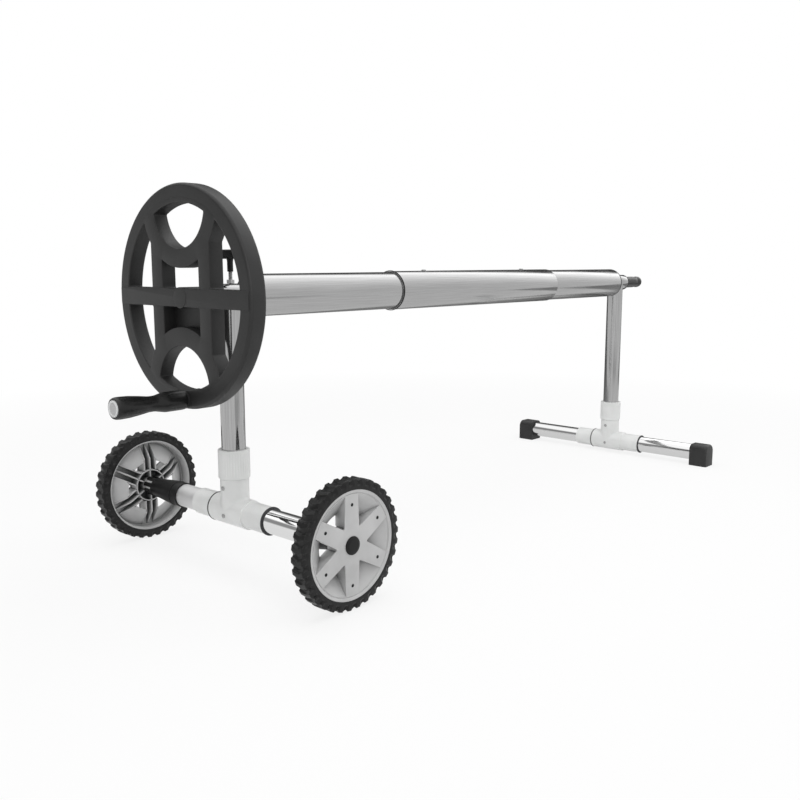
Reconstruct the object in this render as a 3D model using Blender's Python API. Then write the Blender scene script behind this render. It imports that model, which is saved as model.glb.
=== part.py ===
"""Pool cover reel: a telescoping aluminium tube carried by two inverted-T stands.

Metres, +Z up. X runs along the reel from the hand wheel to the far grip, and
Y along the bars of the stands. The origin lies on the floor under the middle
of the whole reel. Stations along X are first counted from the drive leg.
"""
import bmesh
import bpy
from math import asin, atan2, cos, degrees, floor, pi, radians, sin, sqrt
from mathutils import Quaternion, Vector

# Clearances
FIT = 0.0003
RUN_GAP = 0.0004
SLIDE_GAP = 0.0005
WELD_DISTANCE = 0.00001

# Reel tubes
REEL_HEIGHT = 0.519
TUBE_RADIUS = 0.040
TUBE_WALL = 0.0015
DRIVE_TUBE_LENGTH = 0.687
SLEEVE_OVERLAP = 0.301
SLEEVE_LENGTH = 0.616
SLEEVE_WALL = 0.0015
TUBE_END_GAP = 0.014
FAR_TUBE_LENGTH = 0.654
SLEEVE_RING_WIDTH = 0.005
SLEEVE_RING_WALL = 0.0025
SET_SCREW_INSET = 0.113
SET_SCREW_RADIUS = 0.003
SET_SCREW_HEAD_RADIUS = 0.0055
SET_SCREW_HEAD_HEIGHT = 0.003

# Plugs and axles of the reel
PLUG_FLANGE = 0.003
PLUG_LENGTH = 0.040
PLUG_BOSS_RADIUS = 0.0165
AXLE_RADIUS = 0.0125
AXLE_WALL = 0.0025
DRIVE_END_FLOAT = 0.003
FAR_END_FLOAT = 0.0056

# Bearing housings on the legs
HOUSING_WALL = 0.002
HOUSING_OUTBOARD = 0.024
HOUSING_INBOARD = 0.039
BUSH_FLANGE = 0.003
BUSH_LENGTH = 0.018

# Stand tubes and tees
STAND_TUBE_RADIUS = 0.0226
STAND_TUBE_WALL = 0.002
TEE_HALF_LENGTH = 0.049
TEE_RADIUS = 0.028
TEE_ARM_RADIUS = 0.0255
TEE_ARM_END = 0.105
STUB_RADIUS = 0.0272
STUB_HEIGHT = 0.065
SPIGOT_RADIUS = 0.0255
SPIGOT_LENGTH = 0.028
LEG_NUT_RADIUS = 0.0298
LEG_NUT_LENGTH = 0.055
LEG_NUT_FLUTES = 12
LEG_NUT_FLUTE_DEPTH = 0.0007
LEG_BOTTOM_HEIGHT = 0.027
SEAL_THICKNESS = 0.0022
SEAL_LIP = 0.0012
UPPER_SCREW_HEIGHT = 0.048
LOWER_SCREW_HEIGHT = -0.005
TEE_SCREW_RADIUS = 0.002
TEE_SCREW_LENGTH = 0.013
TEE_SCREW_HEAD_RADIUS = 0.0042
TEE_SCREW_HEAD_HEIGHT = 0.0026

# Far stand feet
STAND_WIDTH = 0.640
FOOT_TUBE_HEIGHT = 0.035
FOOT_CAP_LENGTH = 0.050
FOOT_CAP_WIDTH = 0.050
FOOT_CAP_HEIGHT = 0.061
FOOT_CAP_CORNER = 0.013
FOOT_CAP_TOP_ROUND = 0.008
FOOT_CAP_SIDE_ROUND = 0.003
FOOT_CAP_END_WALL = 0.009

# Drive stand: base tube ends and wheel spacers
LEFT_CAP_INNER = 0.164
RIGHT_CAP_INNER = 0.200
BASE_CAP_LENGTH = 0.021
BASE_CAP_RADIUS = 0.0250
SPACER_MOUTH_RADIUS = 0.0255
SPACER_NECK_RADIUS = 0.0185
SPACER_TEETH = 8
SPACER_TOOTH_LENGTH = 0.024
SPACER_TOOTH_RADIUS = 0.0197
SPACER_TOOTH_DEPTH = 0.0040
SPACER_TOOTH_STEP = 0.0005

# Ground wheels
WHEEL_RADIUS = 0.1136
WHEEL_TRACK = 0.604
TYRE_WIDTH = 0.030
LUG_COUNT = 34
LUG_DEPTH = 0.0035
TYRE_TAPER = 0.0015
TYRE_SEAT_RADIUS = 0.0950
RIM_WIDTH = 0.0286
RIM_WALL = 0.0045
RIM_LIP_WALL = 0.0018
RIM_LIP_CHAMFER = 0.005
BOWL_MOUTH_RADIUS = 0.0885
BOWL_FLOOR_RADIUS = 0.0525
BOWL_WALL = 0.003
BOWL_BACK_RECESS = 0.002
SPOKE_COUNT = 6
SPOKE_WIDTH = 0.030
SPOKE_PLATE = 0.0035
SPOKE_SIDE_WALL = 0.003
SPOKE_RIB = 0.003
SPOKE_RECESS = 0.0015
SPOKE_HOLLOW_END = 0.0855
HUB_RING_RADIUS = 0.0335
HUB_RING_WALL = 0.0022
HUB_TUBE_RADIUS = 0.0165
HUB_TUBE_LEDGE = 0.001
HUB_SEAT_RADIUS = 0.0122
HUB_SEAT_DEPTH = 0.012
WHEEL_AXLE_RADIUS = 0.006
AXLE_NUT_ACROSS = 0.019
AXLE_NUT_HEIGHT = 0.008
HUB_CAP_RADIUS = 0.0170
HUB_CAP_HEIGHT = 0.0035
HUB_CAP_PLUG = 0.0022

# Hand wheel
HAND_WHEEL_FRONT = -0.105
HAND_WHEEL_RADIUS = 0.1970
RIM_INNER_RADIUS = 0.167
RIM_DEPTH = 0.0335
RIM_ROUND = 0.0065
RIM_LEDGE = 0.006
WEB_DEPTH = 0.029
GRIP_HOLE_CENTRE = 0.160
GRIP_HOLE_RADIUS = 0.0755
GRIP_HOLE_REACH = 0.163
GRIP_BAND = 0.0330
BAR_INNER = 0.0545
BAR_WIDTH = 0.0325
CROSS_BAR_HALF = 0.016
CROSS_BAR_PROUD = 0.0012
CROSS_BAR_REACH = 0.190
POCKET_FLOOR = 0.004
HUB_RADIUS = 0.021
HUB_PROUD = 0.002
HUB_FRONT_WALL = 0.004
HUB_BOLT_STATION = -0.050
HUB_BOLT_RADIUS = 0.003
HUB_BOLT_HEAD = 0.010
HUB_BOLT_HEAD_HEIGHT = 0.004

# Crank
CRANK_RADIUS = 0.1796
CRANK_BOSS_RADIUS = 0.0165
CRANK_BOSS_PROUD = 0.002
CRANK_BOSS_BACK = 0.001
CRANK_SPINDLE_RADIUS = 0.006
CRANK_SPINDLE_SEAT = 0.003
CRANK_GRIP_LENGTH = 0.136
CRANK_GRIP_COLLAR = 0.0178
CRANK_GRIP_WAIST = 0.0132
CRANK_GRIP_RADIUS = 0.0195
CRANK_GRIP_LIP = 0.0025
CRANK_DISC_RADIUS = 0.0144
CRANK_DISC_PROUD = 0.002
CRANK_DISC_SEAT = 0.0025
FAR_GRIP_LENGTH = 0.100
FAR_GRIP_RADIUS = 0.0165
FAR_GRIP_NOTCH = 0.0013
FAR_GRIP_END_WALL = 0.006
FAR_GRIP_VENT = 0.004

# Brake
BRAKE_STATION = 0.004
BRAKE_ROD_RADIUS = 0.0038
BRAKE_NUT_ACROSS = 0.013
BRAKE_NUT_HEIGHT = 0.007
BRAKE_STEM_BOTTOM = 0.0443
BRAKE_STEM_LENGTH = 0.023
BRAKE_STEM_RADIUS = 0.0054
BRAKE_ROD_SOCKET = 0.014
BRAKE_BAR_LENGTH = 0.056
BRAKE_BAR_HEIGHT = 0.017
BRAKE_BAR_DEPTH = 0.012
BRAKE_BAR_CORNER = 0.005

# Facet counts
TUBE_STEPS = 20
AXLE_STEPS = 16
SMALL_STEPS = 12
SCREW_STEPS = 8
HAND_WHEEL_STEPS = 40
RIM_STEPS = 24

# Stations along X counted from the drive leg
DRIVE_PLUG_FACE = HOUSING_INBOARD + BUSH_FLANGE + DRIVE_END_FLOAT
DRIVE_TUBE_START = DRIVE_PLUG_FACE + PLUG_FLANGE
DRIVE_TUBE_END = DRIVE_TUBE_START + DRIVE_TUBE_LENGTH
SLEEVE_START = DRIVE_TUBE_END - SLEEVE_OVERLAP
SLEEVE_END = SLEEVE_START + SLEEVE_LENGTH
FAR_TUBE_START = DRIVE_TUBE_END + TUBE_END_GAP
FAR_TUBE_END = FAR_TUBE_START + FAR_TUBE_LENGTH
FAR_PLUG_FACE = FAR_TUBE_END + PLUG_FLANGE
FAR_LEG = FAR_PLUG_FACE + FAR_END_FLOAT + BUSH_FLANGE + HOUSING_OUTBOARD
FAR_GRIP_START = FAR_LEG + HOUSING_INBOARD + BUSH_FLANGE + RUN_GAP
FAR_GRIP_END = FAR_GRIP_START + FAR_GRIP_LENGTH
CRANK_BOSS_FRONT = HAND_WHEEL_FRONT - CRANK_BOSS_PROUD
CRANK_GRIP_START = CRANK_BOSS_FRONT - RUN_GAP
CRANK_GRIP_END = CRANK_GRIP_START - CRANK_GRIP_LENGTH
CRANK_DISC_FACE = CRANK_GRIP_END - CRANK_DISC_PROUD
MIDDLE = (CRANK_DISC_FACE + FAR_GRIP_END) / 2

# Radii that follow from a neighbour
SLEEVE_BORE = TUBE_RADIUS + SLIDE_GAP
SLEEVE_RADIUS = SLEEVE_BORE + SLEEVE_WALL
STAND_BORE = STAND_TUBE_RADIUS + FIT
STAND_TUBE_INSIDE = STAND_TUBE_RADIUS - STAND_TUBE_WALL
TUBE_INSIDE = TUBE_RADIUS - TUBE_WALL
HOUSING_RADIUS = STAND_TUBE_RADIUS
HOUSING_BORE = HOUSING_RADIUS - HOUSING_WALL
AXLE_SEAT = AXLE_RADIUS + FIT
AXLE_RUN = AXLE_RADIUS + RUN_GAP
BASE_HEIGHT = WHEEL_RADIUS
WHEEL_Y = WHEEL_TRACK / 2

AXES = {"X": Vector((1, 0, 0)), "Y": Vector((0, 1, 0)), "Z": Vector((0, 0, 1))}
MATERIALS = {}


def material(name, colour, roughness, metallic):
    """A plain Principled material, made once and shared by name."""
    if name not in MATERIALS:
        made = bpy.data.materials.new(name)
        made.use_nodes = True
        shader = made.node_tree.nodes["Principled BSDF"]
        shader.inputs["Base Color"].default_value = (*colour, 1)
        shader.inputs["Roughness"].default_value = roughness
        shader.inputs["Metallic"].default_value = metallic
        MATERIALS[name] = made
    return MATERIALS[name]


def reel_aluminium():
    return material("satin aluminium", (0.62, 0.63, 0.64), 0.35, 1.0)


def polished_aluminium():
    return material("polished aluminium", (0.75, 0.76, 0.77), 0.15, 1.0)


def chrome():
    return material("chromed steel", (0.85, 0.86, 0.87), 0.06, 1.0)


def zinc():
    return material("zinc-plated steel", (0.55, 0.56, 0.57), 0.3, 1.0)


def white_pvc():
    return material("white PVC", (0.85, 0.85, 0.84), 0.35, 0.0)


def black_abs():
    return material("black ABS", (0.035, 0.035, 0.036), 0.45, 0.0)


def grey_abs():
    return material("grey ABS", (0.45, 0.46, 0.46), 0.45, 0.0)


def black_rubber():
    return material("black rubber", (0.02, 0.02, 0.021), 0.7, 0.0)


def body(name, station, across, height, parent=None):
    """An empty on a body's joint axis, which its pieces hang from."""
    empty = bpy.data.objects.new(name, None)
    empty.empty_display_size = 0.05
    bpy.context.scene.collection.objects.link(empty)
    empty["place"] = (station - MIDDLE, across, height)
    empty.location = empty["place"]
    if parent:
        empty.parent = parent
        empty.location = Vector(empty["place"]) - Vector(parent["place"])
    return empty


def finish(name, mesh_builder, look, place, parent):
    """Close a bmesh into an object at (station, across, height)."""
    bmesh.ops.recalc_face_normals(mesh_builder, faces=mesh_builder.faces)
    mesh = bpy.data.meshes.new(name)
    mesh_builder.to_mesh(mesh)
    mesh_builder.free()
    mesh.shade_smooth()
    mesh.set_sharp_from_angle(angle=radians(35))
    made = bpy.data.objects.new(name, mesh)
    bpy.context.scene.collection.objects.link(made)
    made.data.materials.append(look)
    where = Vector((place[0] - MIDDLE, place[1], place[2]))
    made.location = where
    if parent:
        made.parent = parent
        made.location = where - Vector(parent["place"])
    return made


def turned(name, profile, axis, look, place, parent=None, steps=TUBE_STEPS):
    """Spin a profile of (along, radius) points round an axis.

    A profile that starts and ends on the axis makes a solid piece. Any other
    one is closed into a ring. Facets, not corners, face up and sideways.
    """
    builder = bmesh.new()
    direction = AXES[axis]
    side = AXES["Z"] if axis != "Z" else AXES["X"]
    side = Quaternion(direction, pi / steps) @ side
    points = [builder.verts.new(direction * along + side * radius) for along, radius in profile]
    pairs = list(zip(points, points[1:]))
    if profile[0][1] > 0:
        pairs.append((points[-1], points[0]))
    edges = [builder.edges.new(pair) for pair in pairs]
    bmesh.ops.spin(builder, geom=points + edges, cent=(0, 0, 0), axis=direction,
                   dvec=(0, 0, 0), angle=2 * pi, steps=steps, use_merge=True)
    bmesh.ops.remove_doubles(builder, verts=builder.verts, dist=1e-6)
    return finish(name, builder, look, place, parent)


def ring_profile(start, end, inner, outer):
    return [(start, inner), (start, outer), (end, outer), (end, inner)]


def rod_profile(start, end, radius):
    return [(start, 0), (start, radius), (end, radius), (end, 0)]


def prism(name, outlines, axis, start, end, look, place, parent=None):
    """Extrude closed outlines of two-value points along an axis.

    The two values run along Y and Z for axis X, along X and Z for axis Y and
    along X and Y for axis Z.
    """
    builder = bmesh.new()
    for outline in outlines:
        corners = []
        for first, second in outline:
            spot = {"X": (start, first, second), "Y": (first, start, second),
                    "Z": (first, second, start)}[axis]
            corners.append(builder.verts.new(spot))
        cap = builder.faces.new(corners)
        raised = bmesh.ops.extrude_face_region(builder, geom=[cap])["geom"]
        moved = [item for item in raised if isinstance(item, bmesh.types.BMVert)]
        bmesh.ops.translate(builder, verts=moved, vec=AXES[axis] * (end - start))
    return finish(name, builder, look, place, parent)


def loft(name, sections, axis, look, place, parent=None):
    """Skin over outlines of equal point counts, each at its own distance along an axis."""
    builder = bmesh.new()
    rows = []
    for along, outline in sections:
        rows.append([builder.verts.new({"X": (along, first, second), "Y": (first, along, second),
                                        "Z": (first, second, along)}[axis]) for first, second in outline])
    for here, there in zip(rows, rows[1:]):
        for first in range(len(here)):
            second = (first + 1) % len(here)
            builder.faces.new((here[first], here[second], there[second], there[first]))
    builder.faces.new(rows[0])
    builder.faces.new(rows[-1])
    return finish(name, builder, look, place, parent)


def arc(centre, radius, start, end, steps):
    """Points on a circle from one angle to another, in degrees."""
    angles = [radians(start + (end - start) * step / steps) for step in range(steps + 1)]
    return [(centre[0] + radius * cos(turn), centre[1] + radius * sin(turn)) for turn in angles]


def rounded_box(half_width, bottom, top, corner, round_bottom=True, steps=3):
    """A rectangle about the second axis with rounded corners."""
    outline = arc((half_width - corner, top - corner), corner, 0, 90, steps)
    outline += arc((corner - half_width, top - corner), corner, 90, 180, steps)
    if round_bottom:
        outline += arc((corner - half_width, bottom + corner), corner, 180, 270, steps)
        outline += arc((half_width - corner, bottom + corner), corner, 270, 360, steps)
    else:
        outline += [(-half_width, bottom), (half_width, bottom)]
    return outline


def hexagon(across):
    return [(across / sqrt(3) * cos(radians(60 * side)), across / sqrt(3) * sin(radians(60 * side)))
            for side in range(6)]


def combine(target, tool, operation):
    """Cut, join or trim a piece with a tool that isn't part of the model."""
    change = target.modifiers.new(tool.name, "BOOLEAN")
    change.operation = operation
    change.solver = "EXACT"
    change.object = tool
    tool.hide_render = True
    tool.display_type = "WIRE"


def cut(target, tool):
    combine(target, tool, "DIFFERENCE")


def join(target, tool):
    combine(target, tool, "UNION")


def bevel(target, width, segments=2):
    """Round the sharp edges of a piece."""
    change = target.modifiers.new("edge round", "BEVEL")
    change.width = width
    change.segments = segments
    change.limit_method = "ANGLE"
    change.angle_limit = radians(50)


def weld(target):
    """Merge the points that several cuts have left on one spot."""
    change = target.modifiers.new("weld", "WELD")
    change.merge_threshold = WELD_DISTANCE


def cylinder_tool(name, axis, start, end, radius, place, steps=TUBE_STEPS):
    return turned(name, rod_profile(start, end, radius), axis, black_abs(), place, steps=steps)


def build_bearing(prefix, leg_station, stand):
    """The cross tube on top of a leg, with its two flanged bushes."""
    place = (leg_station, 0, REEL_HEIGHT)
    housing = turned(prefix + "_bearing_housing",
                     ring_profile(-HOUSING_OUTBOARD, HOUSING_INBOARD, HOUSING_BORE, HOUSING_RADIUS),
                     "X", polished_aluminium(), place, stand)
    insert = HOUSING_BORE - FIT
    for side, mouth, way in (("outer", -HOUSING_OUTBOARD, 1), ("inner", HOUSING_INBOARD, -1)):
        seat = mouth - way * FIT
        profile = [(seat, HOUSING_RADIUS), (mouth - way * BUSH_FLANGE, HOUSING_RADIUS),
                   (mouth - way * BUSH_FLANGE, AXLE_RUN), (mouth + way * BUSH_LENGTH, AXLE_RUN),
                   (mouth + way * BUSH_LENGTH, insert), (seat, insert)]
        turned(prefix + "_bush_" + side, profile, "X", black_abs(), place, stand, AXLE_STEPS)
    return housing


def build_leg(prefix, leg_station, base_height, stand):
    """A leg tube, mitred under its bearing housing and pinned in the tee."""
    place = (leg_station, 0, base_height)
    top = REEL_HEIGHT - base_height
    leg = turned(prefix + "_leg",
                 ring_profile(LEG_BOTTOM_HEIGHT, top, STAND_TUBE_INSIDE, STAND_TUBE_RADIUS),
                 "Z", polished_aluminium(), place, stand)
    saddle = cylinder_tool(prefix + "_saddle_cut", "X", -0.05, 0.05, HOUSING_RADIUS + FIT,
                           (leg_station, 0, REEL_HEIGHT))
    cut(leg, saddle)
    return leg


def build_tee(prefix, leg_station, base_height, stand):
    """The moulded tee with stepped arms, a stub and a threaded spigot."""
    place = (leg_station, 0, base_height)
    arms = [(-TEE_ARM_END, 0), (-TEE_ARM_END, TEE_ARM_RADIUS), (-TEE_HALF_LENGTH, TEE_ARM_RADIUS),
            (-TEE_HALF_LENGTH, TEE_RADIUS), (TEE_HALF_LENGTH, TEE_RADIUS),
            (TEE_HALF_LENGTH, TEE_ARM_RADIUS), (TEE_ARM_END, TEE_ARM_RADIUS), (TEE_ARM_END, 0)]
    tee = turned(prefix + "_tee", arms, "Y", white_pvc(), place, stand)
    stub = turned(prefix + "_stub", [(0, 0), (0, STUB_RADIUS), (STUB_HEIGHT, STUB_RADIUS),
                                     (STUB_HEIGHT, SPIGOT_RADIUS),
                                     (STUB_HEIGHT + SPIGOT_LENGTH, SPIGOT_RADIUS),
                                     (STUB_HEIGHT + SPIGOT_LENGTH, 0)], "Z", white_pvc(), place)
    join(tee, stub)
    cut(tee, cylinder_tool(prefix + "_run_bore", "Y", -0.2, 0.2, STAND_BORE, place))
    cut(tee, cylinder_tool(prefix + "_stub_bore", "Z", LEG_BOTTOM_HEIGHT - FIT, 0.2, STAND_BORE, place))
    return tee


def build_leg_nut(prefix, leg_station, base_height, stand):
    """The fluted union nut that closes the tee's spigot round the leg."""
    seat = STUB_HEIGHT + FIT
    end = STUB_HEIGHT + LEG_NUT_LENGTH
    step = STUB_HEIGHT + SPIGOT_LENGTH + FIT
    chamfer = 0.003
    thread = SPIGOT_RADIUS + FIT
    profile = [(seat, thread), (seat, LEG_NUT_RADIUS - chamfer), (seat + chamfer, LEG_NUT_RADIUS),
               (end, LEG_NUT_RADIUS), (end, STAND_BORE), (step, STAND_BORE), (step, thread)]
    nut = turned(prefix + "_leg_nut", profile, "Z", white_pvc(), (leg_station, 0, base_height),
                 stand, steps=2 * LEG_NUT_FLUTES)
    for corner in nut.data.vertices:
        radius = corner.co.xy.length
        turn = degrees(atan2(corner.co.y, corner.co.x)) * LEG_NUT_FLUTES / 180
        if radius > LEG_NUT_RADIUS - chamfer / 4 and floor(turn) % 2:
            corner.co.xy *= 1 - LEG_NUT_FLUTE_DEPTH / radius
    return nut


def build_tee_screws(prefix, leg_station, base_height, stand, tee, leg, base_tube):
    """Two pan-head screws: one holds the leg, the other the base tube."""
    for label, height, surface, held in (("upper", UPPER_SCREW_HEIGHT, STUB_RADIUS, leg),
                                         ("lower", LOWER_SCREW_HEIGHT, TEE_RADIUS, base_tube)):
        place = (leg_station, 0, base_height + height)
        under = -surface - FIT
        crown = under - TEE_SCREW_HEAD_HEIGHT
        profile = [(crown, 0), (crown, TEE_SCREW_HEAD_RADIUS * 0.6),
                   (crown + TEE_SCREW_HEAD_HEIGHT / 2, TEE_SCREW_HEAD_RADIUS),
                   (under, TEE_SCREW_HEAD_RADIUS), (under, TEE_SCREW_RADIUS),
                   (under + TEE_SCREW_LENGTH, TEE_SCREW_RADIUS), (under + TEE_SCREW_LENGTH, 0)]
        turned(prefix + "_tee_screw_" + label, profile, "X", zinc(), place, stand, SCREW_STEPS)
        hole = cylinder_tool(prefix + "_screw_hole_" + label, "X", -0.04, -0.01,
                             TEE_SCREW_RADIUS + FIT, place, SCREW_STEPS)
        cut(tee, hole)
        cut(held, hole)
    weld(tee)


def build_seals(prefix, leg_station, base_height, stand):
    """Dark rings: at the tee's shoulder on one side, at the arm's end on the other."""
    place = (leg_station, 0, base_height)
    shoulder = TEE_HALF_LENGTH + FIT
    turned(prefix + "_seal_left",
           ring_profile(shoulder, shoulder + SEAL_THICKNESS, TEE_ARM_RADIUS + FIT,
                        TEE_RADIUS + SEAL_LIP / 2),
           "Y", black_rubber(), place, stand)
    mouth = -TEE_ARM_END - FIT
    turned(prefix + "_seal_right",
           ring_profile(mouth - SEAL_THICKNESS, mouth, STAND_BORE, TEE_ARM_RADIUS + SEAL_LIP),
           "Y", black_rubber(), place, stand)


def build_stand(prefix, leg_station, base_height, base_left, base_right, stand):
    """The pieces that both stands share. Returns the bearing housing."""
    housing = build_bearing(prefix, leg_station, stand)
    leg = build_leg(prefix, leg_station, base_height, stand)
    tee = build_tee(prefix, leg_station, base_height, stand)
    build_leg_nut(prefix, leg_station, base_height, stand)
    base_tube = turned(prefix + "_base_tube",
                       ring_profile(-base_right, base_left, STAND_TUBE_INSIDE, STAND_TUBE_RADIUS),
                       "Y", chrome(), (leg_station, 0, base_height), stand)
    build_tee_screws(prefix, leg_station, base_height, stand, tee, leg, base_tube)
    build_seals(prefix, leg_station, base_height, stand)
    return housing


def build_feet(stand):
    """The flat-bottomed rubber caps on the ends of the far base tube, rounded off outwards."""
    outer = STAND_WIDTH / 2
    rounding = [(sin(radians(turn)), 1 - cos(radians(turn))) for turn in (0, 30, 60, 90)]
    steps = [(outer - FOOT_CAP_LENGTH, 0)]
    steps += [(outer - FOOT_CAP_TOP_ROUND * (1 - forward), inward) for forward, inward in rounding]
    for label, way in (("left", 1), ("right", -1)):
        sections = [(way * along, rounded_box(FOOT_CAP_WIDTH / 2 - FOOT_CAP_SIDE_ROUND * inward, 0,
                                              FOOT_CAP_HEIGHT - FOOT_CAP_TOP_ROUND * inward,
                                              FOOT_CAP_CORNER, round_bottom=False))
                    for along, inward in steps]
        cap = loft("foot_cap_" + label, sections, "Y", black_rubber(), (FAR_LEG, 0, 0), stand)
        cut(cap, cylinder_tool("foot_socket_" + label, "Y", way * (outer - 2 * FOOT_CAP_LENGTH),
                               way * (outer - FOOT_CAP_END_WALL), STAND_BORE,
                               (FAR_LEG, 0, FOOT_TUBE_HEIGHT)))


def build_base_ends(stand):
    """End caps of the drive base tube, and the toothed spacers out to the wheels."""
    centre = (0, 0, BASE_HEIGHT)
    wheel_inner = WHEEL_Y - RIM_WIDTH / 2
    bore = WHEEL_AXLE_RADIUS + FIT
    for label, way, inner in (("left", 1, LEFT_CAP_INNER), ("right", -1, RIGHT_CAP_INNER)):
        cap_end = inner + BASE_CAP_LENGTH
        tube_end = inner + BASE_CAP_LENGTH / 2
        profile = [(inner, STAND_BORE), (inner, BASE_CAP_RADIUS), (cap_end, BASE_CAP_RADIUS),
                   (cap_end, bore), (tube_end + FIT, bore), (tube_end + FIT, STAND_BORE)]
        turned("base_cap_" + label, [(way * along, radius) for along, radius in profile],
               "Y", black_abs(), centre, stand)
        build_spacer(label, way, cap_end + FIT, wheel_inner - RUN_GAP, stand)


def build_spacer(label, way, start, end, stand):
    """A trumpet-shaped spacer whose wheel end is cut into long teeth."""
    bore = WHEEL_AXLE_RADIUS + FIT
    toothed = end - SPACER_TOOTH_LENGTH
    narrowing = SPACER_MOUTH_RADIUS - SPACER_NECK_RADIUS
    profile = [(start, bore)]
    for share, width in ((0, 1), (0.2, 0.83), (0.55, 0.45), (0.85, 0.14), (1, 0)):
        profile.append((start + share * (toothed - start), SPACER_NECK_RADIUS + width * narrowing))
    profile += [(toothed + SPACER_TOOTH_STEP, SPACER_TOOTH_RADIUS), (end, SPACER_TOOTH_RADIUS), (end, bore)]
    spacer = turned("wheel_spacer_" + label, [(way * along, radius) for along, radius in profile],
                    "Y", black_abs(), (0, 0, BASE_HEIGHT), stand, steps=4 * SPACER_TEETH)
    for corner in spacer.data.vertices:
        radius = sqrt(corner.co.x ** 2 + corner.co.z ** 2)
        turn = floor(degrees(atan2(corner.co.z, corner.co.x)) * SPACER_TEETH / 90)
        on_tooth = abs(corner.co.y) > toothed + SPACER_TOOTH_STEP / 2 and radius > bore + FIT
        if on_tooth and turn % 4 > 1:
            shrink = 1 - SPACER_TOOTH_DEPTH / radius
            corner.co.x *= shrink
            corner.co.z *= shrink


def build_wheel_axle(stand):
    """One rod through the base tube, with a nut inside each hub."""
    seat = WHEEL_Y + RIM_WIDTH / 2 - SPOKE_RECESS - HUB_SEAT_DEPTH
    nut_start = seat + RUN_GAP
    nut_end = nut_start + AXLE_NUT_HEIGHT
    half = nut_end + 0.0005
    centre = (0, 0, BASE_HEIGHT)
    turned("wheel_axle", rod_profile(-half, half, WHEEL_AXLE_RADIUS), "Y", zinc(), centre, stand,
           SMALL_STEPS)
    for label, way in (("left", 1), ("right", -1)):
        nut = prism("axle_nut_" + label, [hexagon(AXLE_NUT_ACROSS)], "Y", way * nut_start, way * nut_end,
                    zinc(), centre, stand)
        cut(nut, cylinder_tool("axle_nut_bore_" + label, "Y", way * (nut_start - 0.01),
                               way * (nut_end + 0.01), WHEEL_AXLE_RADIUS + FIT, centre, SMALL_STEPS))


def build_tyre(label, wheel):
    """A ribbed tyre: lugs run across the tread, each with a sloping back."""
    builder = bmesh.new()
    seat = TYRE_SEAT_RADIUS + FIT
    half = TYRE_WIDTH / 2
    pattern = ((0.0, 1.0), (0.34, 1.0), (0.58, 0.0))
    rings = []
    for lug in range(LUG_COUNT):
        for share, height in pattern:
            turn = 2 * pi * (lug + share) / LUG_COUNT
            tread = WHEEL_RADIUS - LUG_DEPTH * (1 - height)
            shoulder = half - TYRE_TAPER
            section = [(seat, -half), (tread, -shoulder), (tread, shoulder), (seat, half)]
            rings.append([builder.verts.new((radius * sin(turn), along, radius * cos(turn)))
                          for radius, along in section])
    for here, there in zip(rings, rings[1:] + rings[:1]):
        for first in range(len(here)):
            second = (first + 1) % len(here)
            builder.faces.new((here[first], here[second], there[second], there[first]))
    finish("tyre_" + label, builder, black_rubber(), (0, wheel["place"][1], BASE_HEIGHT), wheel)


def star(reach, half_width):
    """The outline of crossed parallel-sided arms, one per spoke."""
    outline = []
    share = pi / SPOKE_COUNT
    valley = half_width / sin(share)
    for arm in range(SPOKE_COUNT):
        turn = 2 * share * arm
        along = (sin(turn), cos(turn))
        across = (cos(turn), -sin(turn))
        for side in (-1, 1):
            outline.append((along[0] * reach + side * across[0] * half_width,
                            along[1] * reach + side * across[1] * half_width))
        outline.append((valley * sin(turn + share), valley * cos(turn + share)))
    return outline


def behind_spokes():
    """Outlines of the hollows behind the spokes and round the hub, looking along the axle."""
    near = SPOKE_RIB / 2
    far = SPOKE_WIDTH / 2 - SPOKE_SIDE_WALL
    outer = HUB_RING_RADIUS - HUB_RING_WALL
    inner = HUB_TUBE_RADIUS + HUB_TUBE_LEDGE
    share = 360 / SPOKE_COUNT
    outlines = []
    for spoke in range(SPOKE_COUNT):
        turn = radians(share * spoke)
        for side in (-1, 1):
            spots = [(side * near, HUB_RING_RADIUS), (side * far, HUB_RING_RADIUS),
                     (side * far, SPOKE_HOLLOW_END), (side * near, SPOKE_HOLLOW_END)]
            outlines.append([(across * cos(turn) + along * sin(turn),
                              along * cos(turn) - across * sin(turn)) for across, along in spots])
        start = 90 - share * spoke
        lean_out = degrees(asin(near / outer))
        lean_in = degrees(asin(near / inner))
        outlines.append(arc((0, 0), outer, start + lean_out, start + share - lean_out, 4)
                        + arc((0, 0), inner, start + share - lean_in, start + lean_in, 3))
    return outlines


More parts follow.
